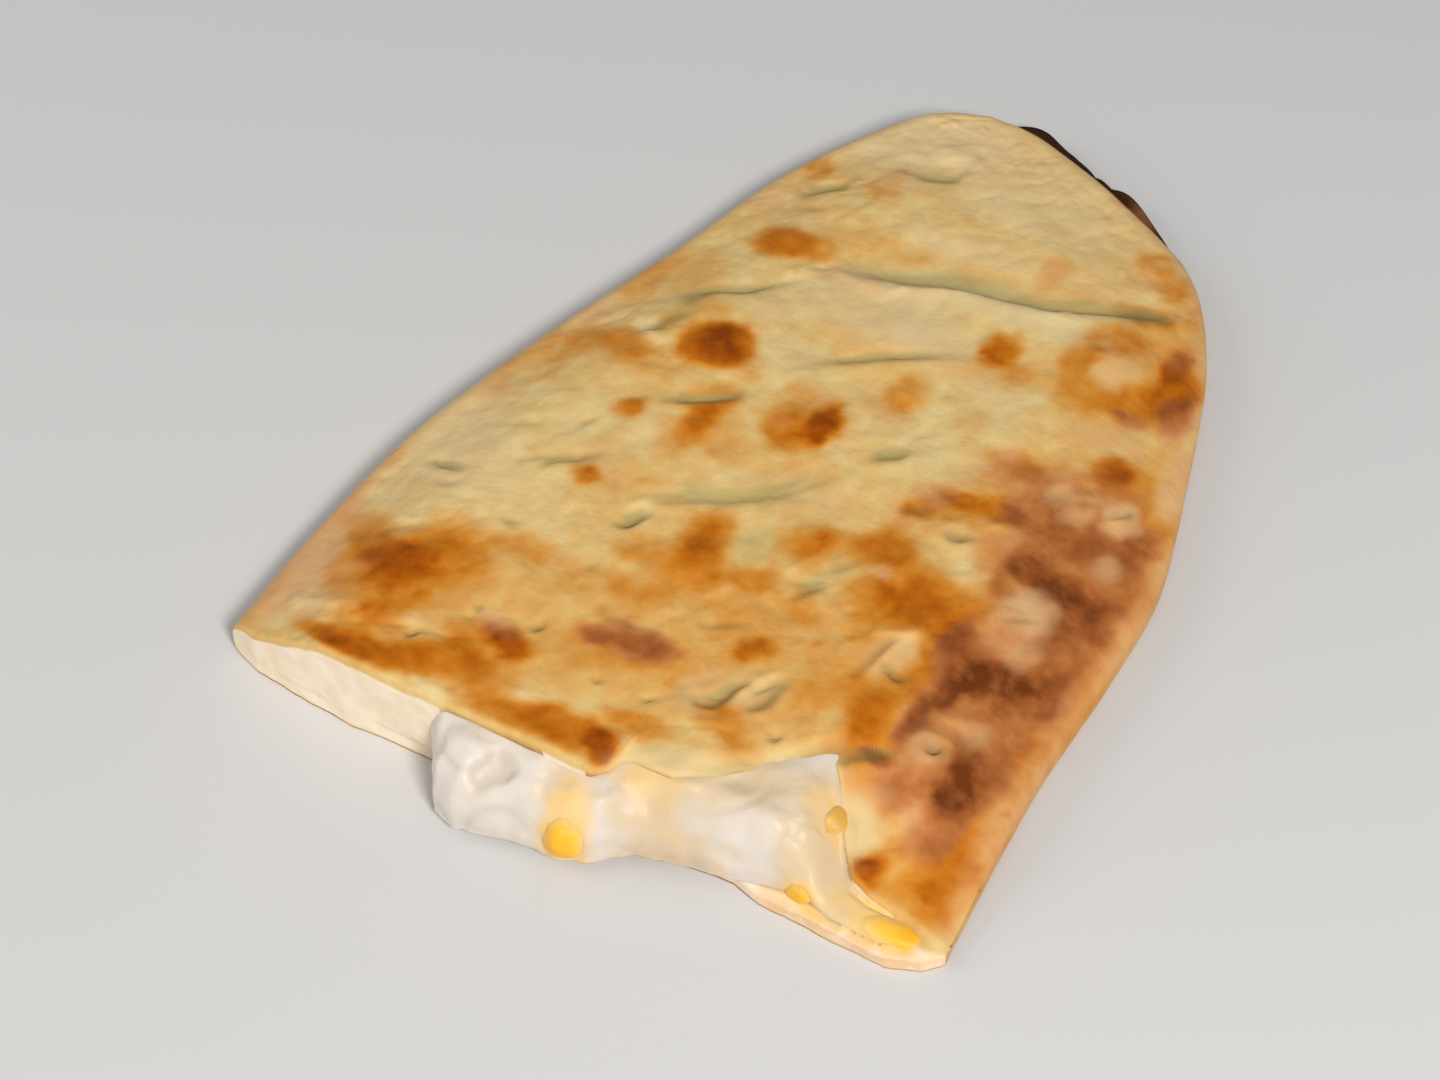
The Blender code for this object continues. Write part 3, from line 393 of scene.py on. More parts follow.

# Narrow slits and holes, sunk in and darkened with painted shade: points along each, half width and strength
SHADED_SLITS = [
    ([(15.1, 117.8), (23, 120), (30.2, 123.5), (37.4, 126.2), (41.2, 126.1)], 1, 0.6),
    ([(33, 125.6), (37.4, 126.9), (41, 126.2)], 1, 0.5),
    ([(-31.6, 93.8), (-28.9, 97.3), (-25.3, 99.2), (-22.1, 103.6)], 0.9, 0.5),
    ([(-33.8, 85.9), (-33, 87.7), (-30.7, 90.3)], 1, 0.75),
    ([(-23.7, 70.7), (-19.6, 73.2), (-17.2, 75.4), (-14.4, 78.6)], 0.9, 0.6),
    ([(-10.6, 86.6), (-4.3, 91.9), (3.9, 97), (10.3, 100.4)], 0.7, 0.3),
    ([(11.8, 75.6), (15.6, 78.5)], 1, 0.5), ([(-31.3, 52.4), (-27.7, 55.5)], 0.8, 0.6),
    ([(-17.5, 43.5), (-15.8, 44.4), (-14.5, 47.5)], 0.8, 0.9),
    ([(-12.8, 50.8), (-4.7, 56.8), (2.5, 61.3), (7.9, 67.8)], 0.7, 0.3),
    ([(-38.1, 48.7), (-34.3, 51.4), (-31.8, 53.3)], 0.7, 0.4),
    ([(-27.4, 126.5), (-23.8, 130.6), (-20.5, 135.2)], 0.8, 0.5),
    ([(-26.7, 123.3), (-22.7, 124.7)], 0.7, 0.4),
    ([(-15.6, 140.7), (-9.3, 141.3), (-5.8, 143.8), (-4, 149.9)], 0.9, 0.3),
    ([(-33.7, 59.7), (-32.2, 61.8)], 0.7, 0.5), ([(29.4, 65.7), (33, 66.7)], 0.9, 0.75),
    ([(21.7, 67.8), (24.7, 68.4)], 0.8, 0.6), ([(14.4, 42.9), (15.6, 45), (17.3, 46.3)], 0.8, 0.7),
    ([(13.6, 47.1), (17.5, 51.5), (20.7, 55.9)], 0.9, 0.35), ([(4, 30.7), (9.9, 34.7)], 0.7, 0.35),
    ([(29.2, 33.4), (30.7, 39.5), (31.3, 42.5)], 0.8, 0.45),
    ([(32.6, 37), (35.2, 35.8), (36.3, 36.3)], 0.9, 0.75),
    ([(11.1, 17.4), (13.7, 18.7), (15.2, 23.4)], 0.8, 0.85),
    ([(18.3, 19.9), (20, 21.7), (21.2, 25.7)], 0.8, 0.85), ([(24, 16.5), (24.3, 17.1)], 0.9, 0.7),
    ([(28.1, 14.9), (32.5, 18.9), (37.3, 19.8)], 1, 0.45),
    ([(35.4, 18.3), (38.6, 20.9), (41, 22.6)], 1, 0.85), ([(45.9, 25.1), (46.6, 25.3)], 1, 0.85),
    ([(45.4, 53.1), (49.2, 54.7)], 0.7, 0.5), ([(45.7, 81), (46.2, 81.4)], 0.8, 0.6),
    ([(52.8, 82.4), (53.4, 82.6)], 0.8, 0.6), ([(-49.8, 41.8), (-45.9, 42.4)], 0.8, 0.55),
    ([(-46.8, 38), (-44.3, 39.8)], 0.7, 0.35), ([(-33.5, 36), (-31.7, 36.5)], 0.8, 0.6),
    ([(-16.8, 32.4), (-15.8, 34.3)], 0.7, 0.4), ([(-27.9, 18.3), (-27.6, 18)], 0.7, 0.7),
    ([(-17.7, 18.3), (-17.4, 20.2)], 0.7, 0.75), ([(-34.1, 7.9), (-33.3, 10)], 0.7, 0.7),
    ([(-4.5, 14.3), (-4.1, 14.4)], 0.8, 0.5), ([(4, 14.5), (4.4, 14.6)], 0.8, 0.4),
]

# Ridges between and beside them, raised and lightened with painted highlight, in the same order
LIT_RIDGES = [
    ([(-12.1, 111), (-4.4, 110.3), (2.3, 113.3), (12.4, 116.7), (24.2, 118.3), (34.5, 123.2)], 1.3, 0.6),
    ([(-39.1, 87.1), (-33.1, 83), (-30.4, 83.1)], 0.9, 0.6), ([(16.2, 21.4), (18.6, 27)], 1, 0.8),
    ([(-52.5, 6.1), (-44.7, 9.4)], 1.2, 0.7), ([(-50.9, 14.7), (-47.9, 16.7)], 1.2, 0.5),
    ([(-38.2, 10.1), (-33.6, 11.6)], 1.4, 0.5), ([(-48.8, 28.4), (-46.2, 28.8)], 0.8, 0.6),
    ([(-15, 5.7), (-11.6, 6.7)], 1.4, 0.6), ([(-17.7, 47.7), (-15.7, 50.3)], 0.7, 0.5),
    ([(-3.3, 30.4), (-0.5, 31.4)], 0.8, 0.5), ([(1.3, 35.6), (3.4, 38), (4.4, 39.9)], 0.9, 0.5),
    ([(6.5, 5.2), (9.8, 5.3)], 1.2, 0.6), ([(-27.7, 0.8), (-23.8, 1.1)], 1, 0.6),
    ([(10.9, 47), (13.5, 51.2)], 0.8, 0.4), ([(19, 43.1), (24.5, 41.5)], 0.8, 0.4),
    ([(28.8, 42.1), (35.5, 44.7)], 1, 0.8), ([(32.4, 41.5), (31.2, 34.4)], 0.7, 0.5),
    ([(43.2, 31.3), (50.2, 31.6)], 1.2, 0.45),
    ([(42.6, 26), (44.1, 27.7), (47.4, 27.4), (48.9, 25)], 0.8, 0.6),
    ([(49.9, 78.5), (53.8, 80.1)], 0.8, 0.8), ([(34.3, 69.7), (36.8, 71.6)], 0.8, 0.7),
    ([(33.5, 57.2), (36.7, 58.9)], 0.9, 0.45), ([(40.3, 62.6), (44.1, 60.1)], 0.8, 0.5),
]

# Soft bands of painted greyish green shade beside the folds, in the same order
SHADES = [
    ([(-10.7, 113.8), (-1.4, 116), (5.8, 119.4), (13.6, 121.8)], 2.8, 0.95),
    ([(13, 118.6), (23, 120.6), (30.2, 123.6), (38, 126.6)], 2.9, 1),
    ([(18, 118.2), (27, 121.4), (34, 124.2), (40, 126)], 2, 0.7),
    ([(-33, 93), (-25, 97), (-20, 103)], 2.6, 0.6), ([(-24, 71.4), (-14, 79.4)], 1.8, 0.35),
    ([(-10, 88), (10, 101.6)], 1.6, 0.3), ([(12, 76), (22, 82)], 2.2, 0.4),
    ([(-13, 51.4), (8, 68.4)], 1.6, 0.35), ([(-16, 141), (-4, 146)], 2, 0.3),
    ([(17, 6), (30, 15.6)], 1.4, 0.6), ([(28, 15), (38, 20)], 1.6, 0.5),
]

# Depth of a slit and height of a ridge
SLIT_DEPTH = 1.0
RIDGE_HEIGHT = 0.6

# The photograph's camera, and the point that this one is turned to
CAMERA_EYE = (159.4, -327.9, 379.6)
CAMERA_HEADING = (-0.4251, 0.9052)
CAMERA_DOWN = 50.4
CAMERA_ROLL = 2.08
CAMERA_AIM = (-2.8, -25.9, 8.0)
CAMERA_LENS = 41.25 * 1.95
SENSOR = 36.0


def ease(value):
    """Smooth step from 0 to 1."""
    value = np.clip(value, 0.0, 1.0)
    return value * value * (3.0 - 2.0 * value)


def rise(value, start, length):
    """Smooth step from 0 at the start to 1 one length further on."""
    return ease((value - start) / length)


def shoulder(value):
    """Quarter round from 0 to 1, steep at 0 and level at 1."""
    value = np.clip(value, 0.0, 1.0)
    return np.sqrt(1.0 - (1.0 - value) ** 2)


def follow(points, x):
    """Value at x of a run of straight pieces through the points."""
    across, value = np.array(points, float).T
    return np.interp(x, across, value)


def smooth_line(points, steps=16):
    """Points of a Catmull-Rom curve that passes through the given ones."""
    given = np.array(points, float)
    before = 2 * given[0] - given[1]
    after = 2 * given[-1] - given[-2]
    padded = np.concatenate([[before], given, [after]])
    u = np.linspace(0.0, 1.0, steps, endpoint=False)[:, None]
    spans = []
    for a, b, c, d in zip(padded, padded[1:], padded[2:], padded[3:]):
        span = 2 * b + (c - a) * u + (2 * a - 5 * b + 4 * c - d) * u**2 + (3 * b - a - 3 * c + d) * u**3
        spans.append(0.5 * span)
    return np.concatenate([*spans, [given[-1]]])


def at_share(line, share):
    """Points at the given shares of a line's length."""
    lengths = np.concatenate([[0.0], np.cumsum(np.linalg.norm(np.diff(line, axis=0), axis=1))])
    wanted = share * lengths[-1]
    return np.interp(wanted, lengths, line[:, 0]), np.interp(wanted, lengths, line[:, 1])


def nearest(line, x, y):
    """Distance to a line, the share of its length there, and the side: positive on its left."""
    best = np.full(x.shape, np.inf)
    share = np.zeros(x.shape)
    side = np.ones(x.shape)
    count = len(line) - 1
    for index in range(count):
        (ax, ay), (bx, by) = line[index], line[index + 1]
        dx, dy = bx - ax, by - ay
        along = np.clip(((x - ax) * dx + (y - ay) * dy) / (dx * dx + dy * dy), 0.0, 1.0)
        distance = np.hypot(x - ax - along * dx, y - ay - along * dy)
        closer = distance < best
        best = np.where(closer, distance, best)
        share = np.where(closer, (index + along) / count, share)
        side = np.where(closer, np.sign(dx * (y - ay) - dy * (x - ax)), side)
    return best, share, side


LEFT_LINE = smooth_line(LEFT_EDGE)
RIGHT_LINE = smooth_line(RIGHT_EDGE)
RIM_LINE = np.concatenate([LEFT_LINE, RIGHT_LINE[-2::-1]])


def plan(s, t, front=None):
    """Place on the plan at shares of the width and length, with a front line added at the cut."""
    left_x, left_y = at_share(LEFT_LINE, t)
    right_x, right_y = at_share(RIGHT_LINE, t)
    x = left_x + (right_x - left_x) * s
    y = left_y + (right_y - left_y) * s
    if front:
        y = y + follow(front, x) * (1.0 - t) ** FRONT_FADE
    return x, y


def off_rim(x, y):
    """How far points lie inside the rim."""
    return nearest(RIM_LINE, x, y)[0]


def behind_cut(x, y):
    """How far points lie behind the edge of the top crust at the cut."""
    return np.maximum(y - follow(CUT_TOP, x), 0.0)


def rough(x, y, width, seed, z=None):
    """Smooth noise between about -1 and 1, the same on each run."""
    third = np.full(x.shape, seed) if z is None else z / width + seed
    points = zip(x / width, y / width, third)
    return np.array([noise.noise(Vector(point)) for point in points])


def waves(x, y, sizes):
    """Gentle unevenness, the same on each run."""
    total = np.zeros(x.shape)
    for width, height in sizes:
        total += height * rough(x, y, width, width)
    return total


def bent(x, y, bends):
    """Places shifted a little by noise, so that no mark has an even outline."""
    bent_x, bent_y = x, y
    for far, width, seed_across, seed_along in bends:
        bent_x = bent_x + far * rough(x, y, width, seed_across)
        bent_y = bent_y + far * rough(x, y, width, seed_along)
    return bent_x, bent_y


def bumps(x, y, places):
    """Round swellings, each with its half widths across and along and its height."""
    total = np.zeros(x.shape)
    for across, along, wide, long, height in places:
        apart = ((x - across) / wide) ** 2 + ((y - along) / long) ** 2
        total += height * np.clip(1.0 - apart, 0.0, 1.0) ** 2
    return total


def spots(x, y, places):
    """Share from 0 to 1 that soft-edged spots cover, each with its own strength."""
    clear = np.ones(x.shape)
    for across, along, wide, long, strength, soft in places:
        apart = np.sqrt(((x - across) / wide) ** 2 + ((y - along) / long) ** 2)
        clear *= 1.0 - strength * ease((1.0 + 0.5 * soft - apart) / soft)
    return 1.0 - clear


def dying_away(share, ends):
    """1 in the middle of a line, and less towards its ends."""
    least, power = ends
    return np.sin(np.pi * np.clip(share, least, 1.0 - least)) ** power


def strokes(x, y, places):
    """Share from 0 to 1 that soft lines cover, each with its half width and strength."""
    clear = np.ones(x.shape)
    for points, wide, strength in places:
        line = smooth_line(points, STROKE_STEPS)
        low, high = line.min(axis=0) - STROKE_REACH * wide, line.max(axis=0) + STROKE_REACH * wide
        close = (x > low[0]) & (x < high[0]) & (y > low[1]) & (y < high[1])
        if close.any():
            apart, share, _ = nearest(line, x[close], y[close])
            fade = dying_away(share, STROKE_ENDS)
            clear[close] *= 1.0 - strength * fade * np.exp(-((apart / wide) ** 2))
    return 1.0 - clear


def creases(x, y):
    """Grooves along lines, deepest in their middle, each with a fold on its near side."""
    total = np.zeros(x.shape)
    for points, depth, width, fold in CREASES:
        apart, share, side = nearest(smooth_line(points, LINE_STEPS), x, y)
        fade = dying_away(share, LINE_ENDS)
        total -= depth * fade * np.exp(-((apart / width) ** 2))
        beside = (apart / width - FOLD_BESIDE[0]) / FOLD_BESIDE[1]
        total += np.where(side < 0, fold * fade * np.exp(-(beside**2)), 0.0)
    return total


def folds(x, y):
    """Long steps of the dough, high on the near side of a line and low on its far side."""
    total = np.zeros(x.shape)
    for points, height, width, reach in FOLDS:
        apart, share, side = nearest(smooth_line(points, LINE_STEPS), x, y)
        slope = -side * np.tanh(apart / width) * np.exp(-((apart / reach) ** 2))
        total += 0.5 * height * dying_away(share, LINE_ENDS) * slope
    return total


def wrinkles(x, y):
    """Thin creases that lie where stretched noise crosses zero, here and there."""
    patch_width, least, gain = WRINKLED_PATCHES
    total = np.zeros(x.shape)
    for (ahead_x, ahead_y), length, spacing, depth, width, seed in WRINKLES:
        ahead = x * ahead_x + y * ahead_y
        aside = y * ahead_x - x * ahead_y
        level = rough(ahead / length, aside / spacing, 1.0, seed)
        here = ease(least + gain * rough(x, y, patch_width, seed + 1.0))
        total -= depth * here * np.exp(-((level / width) ** 2))
    return total


def dome(x, y):
    """Height of the top crust without its marks and without the round of its rim."""
    height = RIM_HEIGHT + (follow(FILLED_HEIGHT, y) - RIM_HEIGHT) * ease(off_rim(x, y) / RISE_WIDTH)
    return height * (1.0 - SAG * rise(x, *SAG_ACROSS) * (1.0 - rise(y, *SAG_ALONG)))


def on_marks_level(x, y, z):
    """Where the line from the eye to a point of the crust meets the level of the marks."""
    share = (MARKS_LEVEL - EYE[2]) / (z - EYE[2])
    return EYE[0] + (x - EYE[0]) * share, EYE[1] + (y - EYE[1]) * share


def strewn(seed, count, least, most, low, high):
    """Places for small marks of one kind: across, along, half widths, height."""
    random = np.random.default_rng(seed)
    across = random.uniform(*STREWN_ACROSS, count)
    along = random.uniform(*STREWN_ALONG, count)
    half = random.uniform(least, most, count)
    longer = half * random.uniform(*STREWN_LONGER, count)
    height = random.uniform(low, high, count)
    return list(zip(across, along, half, longer, height))


SMALL_BLISTERS = strewn(*BLISTERS_STREWN)
PORES = strewn(*PORES_STREWN)


def crust_top(x, y):
    """Height of the top crust with all its relief, and the lines that its colour follows, among them painted
    shade and painted highlights.
    """
    inward = off_rim(x, y)
    plain = dome(x, y)
    across, along = on_marks_level(x, y, plain)
    bent_x, bent_y = bent(across, along, RELIEF_BENDS)
    pits = [(px, py, half, half, -depth) for px, py, half, depth in PITS]
    marks = waves(x, y, WAVES) + bumps(bent_x, bent_y, BLISTERS + pits)
    marks = marks + bumps(bent_x, bent_y, SMALL_BLISTERS + PORES)
    grooves = creases(bent_x, bent_y)
    wrinkled = wrinkles(across, along)
    lines = {"shaded_slit": strokes(across, along, SHADED_SLITS), "lit_ridge": strokes(across, along, LIT_RIDGES)}
    marks = marks + grooves + wrinkled + folds(across, along)
    marks = marks - SLIT_DEPTH * lines["shaded_slit"] + RIDGE_HEIGHT * lines["lit_ridge"]
    height = plain + marks * ease(inward / MARKS_FADE)
    low = np.minimum(EDGE_HIGH, EDGE_HIGH_SHARE * height)
    lines["shade"] = strokes(across, along, SHADES)
    lines["groove"] = ease(-(grooves + WRINKLES_SHADED * wrinkled) / GROOVE_SHADED)
    return low + (height - low) * shoulder(inward / RIM_ROUND), lines


def crust_underside(x, y):
    """Level underside with a rounded lower rim."""
    low = np.minimum(EDGE_LOW, EDGE_LOW_SHARE * dome(x, y))
    return low * (1.0 - shoulder(off_rim(x, y) / UNDER_ROUND))


def scorched_lips(x, y):
    """How far the lower rim reaches out at the scorched lips of the tip."""
    outer = np.clip(1.0 - off_rim(x, y) / LIP_DEPTH, 0.0, 1.0) * (y > MIDDLE[1])
    total = np.zeros(x.shape)
    for start, end, reach in LIPS:
        bow = np.sin(np.pi * np.clip((x - start) / (end - start), 0.0, 1.0)) ** LIP_FULLNESS
        total += reach * outer * bow * (1.0 + LIP_RAGGED * rough(x, y, LIP_RAGGED_WIDTH, start))
    return np.maximum(total, 0.0)


def shell_grid(columns, rows, layers, coarse):
    """Points and faces of a closed box with fine sides and top and a coarser underside.

    The points come as whole numbers along the box's three edges.
    """
    index = {}
    points = []

    def point(i, j, k):
        key = (i, j, k)
        if key not in index:
            index[key] = len(points)
            points.append(key)
        return index[key]

    faces = []
    for i in range(columns):
        for j in range(rows):
            corners = ((i, j), (i + 1, j), (i + 1, j + 1), (i, j + 1))
            faces.append([point(a, b, layers) for a, b in corners])
    for k in range(layers):
        for i in range(columns):
            near = ((i, k), (i + 1, k), (i + 1, k + 1), (i, k + 1))
            faces.append([point(a, 0, c) for a, c in near])
            faces.append([point(a, rows, c) for a, c in reversed(near)])
        for j in range(rows):
            beside = ((j, k), (j, k + 1), (j + 1, k + 1), (j + 1, k))
            faces.append([point(0, b, c) for b, c in beside])
            faces.append([point(columns, b, c) for b, c in reversed(beside)])
    for i in range(0, columns, coarse):
        for j in range(0, rows, coarse):
            last_i, last_j = min(i + coarse, columns), min(j + coarse, rows)
            ring = [(i, b) for b in range(j, last_j)] + [(a, last_j) for a in range(i, last_i)]
            ring += [(last_i, b) for b in range(last_j, j, -1)] + [(a, j) for a in range(last_i, i, -1)]
            corners = {(i, j), (last_i, j), (i, last_j), (last_i, last_j)}
            kept = [(a, b) for a, b in ring if (a, b) in corners or a in (0, columns) or b in (0, rows)]
            faces.append([point(a, b, 0) for a, b in kept])
    return np.array(points), faces


def crowd_to_ends(share, strength):
    """Spreads shares so that they lie closer together at 0 and 1."""
    return share - strength * np.sin(2.0 * np.pi * share) / (2.0 * np.pi)


def to_frame(points):
    """Points in metres in the frame, from millimetres measured from the middle of the cut."""
    return (np.asarray(points) - MIDDLE) * MM


def make_mesh(name, points, faces):
    data = bpy.data.meshes.new(name)
    data.from_pydata(to_frame(points).tolist(), [], faces)
    data.update()
    return data


def read_rows(data, name):
    """The places or the normals of a mesh's points, a row for each point."""
    values = np.empty(len(data.vertices) * 3)
    data.vertices.foreach_get(name, values)
    return values.reshape(-1, 3)


def set_marks(data, marks):
    """Writes named numbers to a mesh, one for each point."""
    for name, values in marks.items():
        attribute = data.attributes.new(name, "FLOAT", "POINT")
        attribute.data.foreach_set("value", np.ascontiguousarray(values, np.float32))


def shade_smooth(data):
    data.polygons.foreach_set("use_smooth", np.ones(len(data.polygons), bool))


def add_object(name, data, material):
    thing = bpy.data.objects.new(name, data)
    data.materials.append(material)
    bpy.context.scene.collection.objects.link(thing)
    return thing


def apply_modifiers(thing):
    """Replaces an object's mesh by the one that its modifiers give."""
    evaluated = thing.evaluated_get(bpy.context.evaluated_depsgraph_get())
    data = bpy.data.meshes.new_from_object(evaluated)
    thing.modifiers.clear()
    thing.data = data


def drop_crumbs(data):
    """Takes away shells that the cut has left loose, and keeps the one with the most points."""
    mesh = bmesh.new()
    mesh.from_mesh(data)
    left = set(mesh.verts)
    shells = []
    while left:
        edge_of_shell = [left.pop()]
        shell = list(edge_of_shell)
        while edge_of_shell:
            here = edge_of_shell.pop()
            beside = {edge.other_vert(here) for edge in here.link_edges} & left
            left -= beside
            shell += beside
            edge_of_shell += beside
        shells.append(shell)
    shells.sort(key=len)
    for shell in shells[:-1]:
        bmesh.ops.delete(mesh, geom=shell, context="VERTS")
    mesh.to_mesh(data)
    mesh.free()


# The crust is paler and thinner along the cut, and most so along the torn notch: how much and how
# far back
EDGE_PALE = (0.55, 1.6)
TORN_PALE = (0.35, 5.0)
EDGE_THIN = (0.35, 0.9)
TORN_THIN = (1.3, 4.6)

# Ends of the notch across, and the lengths over which it grows paler and thinner from each of them
NOTCH = (4.0, 46.0)
NOTCH_PALER_OVER = (5.0, 5.0)
NOTCH_THINNER_OVER = (4.0, 6.0)

# The tongue has its own colour from here across and up to just above the step. Behind its cut face
# and a little further right it is filmed with melted cheese
TONGUE_FROM = (26.0, 10.0)
TONGUE_TOP = STEP_LOW + STEP_RISE + 0.1
FILM_BEHIND = (0.0, 1.3)
FILM_FROM = (31.0, 6.0)

# Bends of the colour's marks: how far, the width of the noise and its seeds across and along
COLOUR_BENDS = [(1.5, 7.0, 11.3, 1.7), (0.8, 2.6, 5.9, 9.2)]

# The underside's plain colour reaches up to this height. It is browned this much, and unevenly:
# width of the noise, its seed and its strength
UNDER_COLOUR_TOP = 1.2
UNDER_BROWNED = 0.36
UNDER_BROWNED_BY = [(19.0, 4.4, 0.42), (6.0, 8.8, 0.26)]

# How much the small blisters and the dough above the lips are browned, and from what reach of a lip
SMALL_BROWNED = 0.14
LIP_BROWNED = 0.7
LIP_BROWNED_FROM = (0.3, 1.6)

# The rim's own colour lies this near to it, weaker on the right half
RIM_WITHIN = (0.5, 4.5)
RIM_LEAST = 0.6
RIM_FULL_FROM = (20.0, 25.0)

# The dough is creamier towards the tip
CREAMY_FROM = (122.0, 30.0)

# Reach from which a lip is charred, and from which the side above it is, with the most of that
CHARRED_LIP = (0.1, 0.9)
CHARRED_ABOVE = (1.2, 2.6)
CHARRED_ABOVE_BY = 0.6

# Unevenness of the charring: width of the noise and its seed, the plain strength and how far it
# swings, and how much less it is on the right and from where
CHAR_NOISE = (6.0, 2.8)
CHAR_STRENGTH = 0.90
CHAR_SWING = 0.6
CHAR_LESS = 0.24
CHAR_LESS_FROM = (16.0, 6.0)


def in_notch(x, lengths):
    """1 in the torn notch, and less near its ends over these lengths."""
    return ease((x - NOTCH[0]) / lengths[0]) * ease((NOTCH[1] - x) / lengths[1])


def near_edge(behind, strength, reach):
    """A strength at the edge that fades to nothing this far behind it."""
    return strength * (1.0 - ease(behind / reach))


def tongue_marks(x, y, z):
    """How far points belong to the tongue, and how thickly it is filmed with melted cheese there."""
    tongue = rise(x, *TONGUE_FROM) * (z < TONGUE_TOP)
    filmed = rise(y - follow(CUT_UNDERSIDE, x), *FILM_BEHIND) * rise(x, *FILM_FROM)
    return tongue, tongue * filmed


def charring(x, y, z, lip, reach):
    """How far the lips and the dough above them are charred."""
    uneven = rough(x, y, *CHAR_NOISE, z)
    above = CHARRED_ABOVE_BY * rise(reach * (1.0 + uneven), *CHARRED_ABOVE)
    strength = CHAR_STRENGTH + CHAR_SWING * uneven - CHAR_LESS * rise(x, *CHAR_LESS_FROM)
    return np.maximum(rise(lip, *CHARRED_LIP), above) * np.clip(strength, 0.0, 1.0)


def crust_marks(x, y, z, h, t, lines, lip, reach):
    """The numbers that the crust's material reads, one set for each point."""
    across, along = on_marks_level(x, y, z)
    place = bent(across, along, COLOUR_BENDS)
    under = (h == 0.0) | (z < UNDER_COLOUR_TOP)
    top = 1.0 - under
    behind = behind_cut(x, y)
    small = bumps(*place, [(*blister[:4], 1.0) for blister in SMALL_BLISTERS])
    browned = spots(*place, BROWNED) + SMALL_BROWNED * np.clip(small, 0.0, 1.0)
    browned = browned + LIP_BROWNED * rise(reach, *LIP_BROWNED_FROM)
    beneath = UNDER_BROWNED
    for width, seed, strength in UNDER_BROWNED_BY:
        beneath = beneath + strength * rough(x, y, width, seed)
    paler = 1.0 - near_edge(behind, *EDGE_PALE)
    torn = in_notch(x, NOTCH_PALER_OVER) * near_edge(behind, *TORN_PALE)
    # Pale dough along the torn notch, and pale tops that are partly painted highlight
    pale_and_lit = 1.0 - (1.0 - spots(*place, PALE_AND_LIT)) * (1.0 - torn)
    # Painted shade: in hollows, in grooves and wrinkles, and in bands beside the folds
    painted_shade_share = spots(*place, HOLLOW_SHADES) + lines["groove"] + lines["shade"]
    rim = 1.0 - rise(off_rim(x, y), *RIM_WITHIN)
    cut = (t == 0.0) & (h > 0.0) & (h < 1.0)
    tongue, filmed = tongue_marks(x, y, z)
    return {
        "browned": np.clip(np.where(under, beneath, browned * paler), 0.0, 1.0),
        "scorched": spots(*place, SCORCHED) * top,
        "pinkish": spots(*place, PINKISH) * top,
        "pale_and_lit": pale_and_lit * top,
        "painted_shade": np.clip(painted_shade_share, 0.0, 1.0) * top,
        "rim": rim * top * (RIM_LEAST + (1.0 - RIM_LEAST) * rise(-x, *RIM_FULL_FROM)),
        "shaded_slit": lines["shaded_slit"] * top,
        "lit_ridge": lines["lit_ridge"] * top,
        "veil": spots(*place, VEILED) * top,
        "creamy": rise(along, *CREAMY_FROM) * top,
        "char": charring(x, y, z, lip, reach) * (h > 0.0),
        "crumb": cut.astype(float),
        "tongue": tongue * cut,
        "filmed": filmed * cut,
    }


# Fineness of the crust's grid, and how much closer its rows and columns lie near the rim. Its
# underside is level, and takes one face for a square of this many rows and columns
CRUST_GRID = (220, 278, 16)
UNDERSIDE_COARSER = 5
CROWDING_ACROSS = 0.35
CROWDING_ALONG = 0.45

# Levels between which the crust's layers lie closest, where the cut face steps back, and the shares
# of the layers below, between and above them. Then, as shares of the side's height, the least and
# most of the lower level, the most of the upper one and the least between them
STEP_CROWD = (2.2, 3.7)
STEP_LAYERS = (0.25, 0.45, 0.30)
STEP_LIMITS = (0.10, 0.45, 0.85)
STEP_APART = 0.15

# Ragged cut dough: width of the unevenness and its reach, how much finer it is upwards, and its seed
RAGGED = [(7.0, 0.30), (2.0, 0.10), (0.8, 0.03)]
RAGGED_FINER_UP = 1.5
RAGGED_SEED = 2.0

# The dough is ragged this little way behind its edge, in the first rows, and not at the two corners
RAGGED_BEHIND = 0.4
RAGGED_ROWS = 0.03
RAGGED_WITHIN = (61.0, 3.0)

# The room for the filling is this much narrower on each side, so that the cheese covers its border,
# and its hidden walls keep this share of the cheese's faces
ROOM_LESS = 0.35
ROOM_FACES = 0.4


def ragged(x, z):
    """How far the cut face stands out or back."""
    total = np.zeros(x.shape)
    for index, (width, reach) in enumerate(RAGGED):
        total += reach * rough(x, z * RAGGED_FINER_UP, width, RAGGED_SEED + index)
    return total


def crowd_to_step(h, low, high):
    """Spreads the layers' shares so that many lie where the cut face steps back."""
    room = np.maximum(high - low, LEAST)
    start, between, rest = STEP_LAYERS
    end = start + between
    first = np.clip((STEP_CROWD[0] - low) / room, *STEP_LIMITS[:2])
    second = np.clip((STEP_CROWD[1] - low) / room, first + STEP_APART, STEP_LIMITS[2])
    below = first * h / start
    within = first + (second - first) * (h - start) / between
    above = second + (1.0 - second) * (h - end) / rest
    return np.where(h < start, below, np.where(h < end, within, above))


def build_room(filling):
    """A copy of the filling, a little smaller and coarser, which cuts the crust's pocket."""
    room = filling.copy()
    room.data = filling.data.copy()
    room.name = "room_for_filling"
    points = read_rows(room.data, "co")
    smaller = points - read_rows(room.data, "normal") * ROOM_LESS * MM
    room.data.vertices.foreach_set("co", smaller.ravel())
    for name in CHEESE_MARKS:
        room.data.attributes.remove(room.data.attributes[name])
    places = points / MM + MIDDLE
    tongue, filmed = tongue_marks(*places.T)
    set_marks(room.data, {"crumb": np.ones(len(places)), "tongue": tongue, "filmed": filmed})
    room.data.materials.clear()
    bpy.context.scene.collection.objects.link(room)
    room.modifiers.new("coarser", "DECIMATE").ratio = ROOM_FACES
    apply_modifiers(room)
    return room


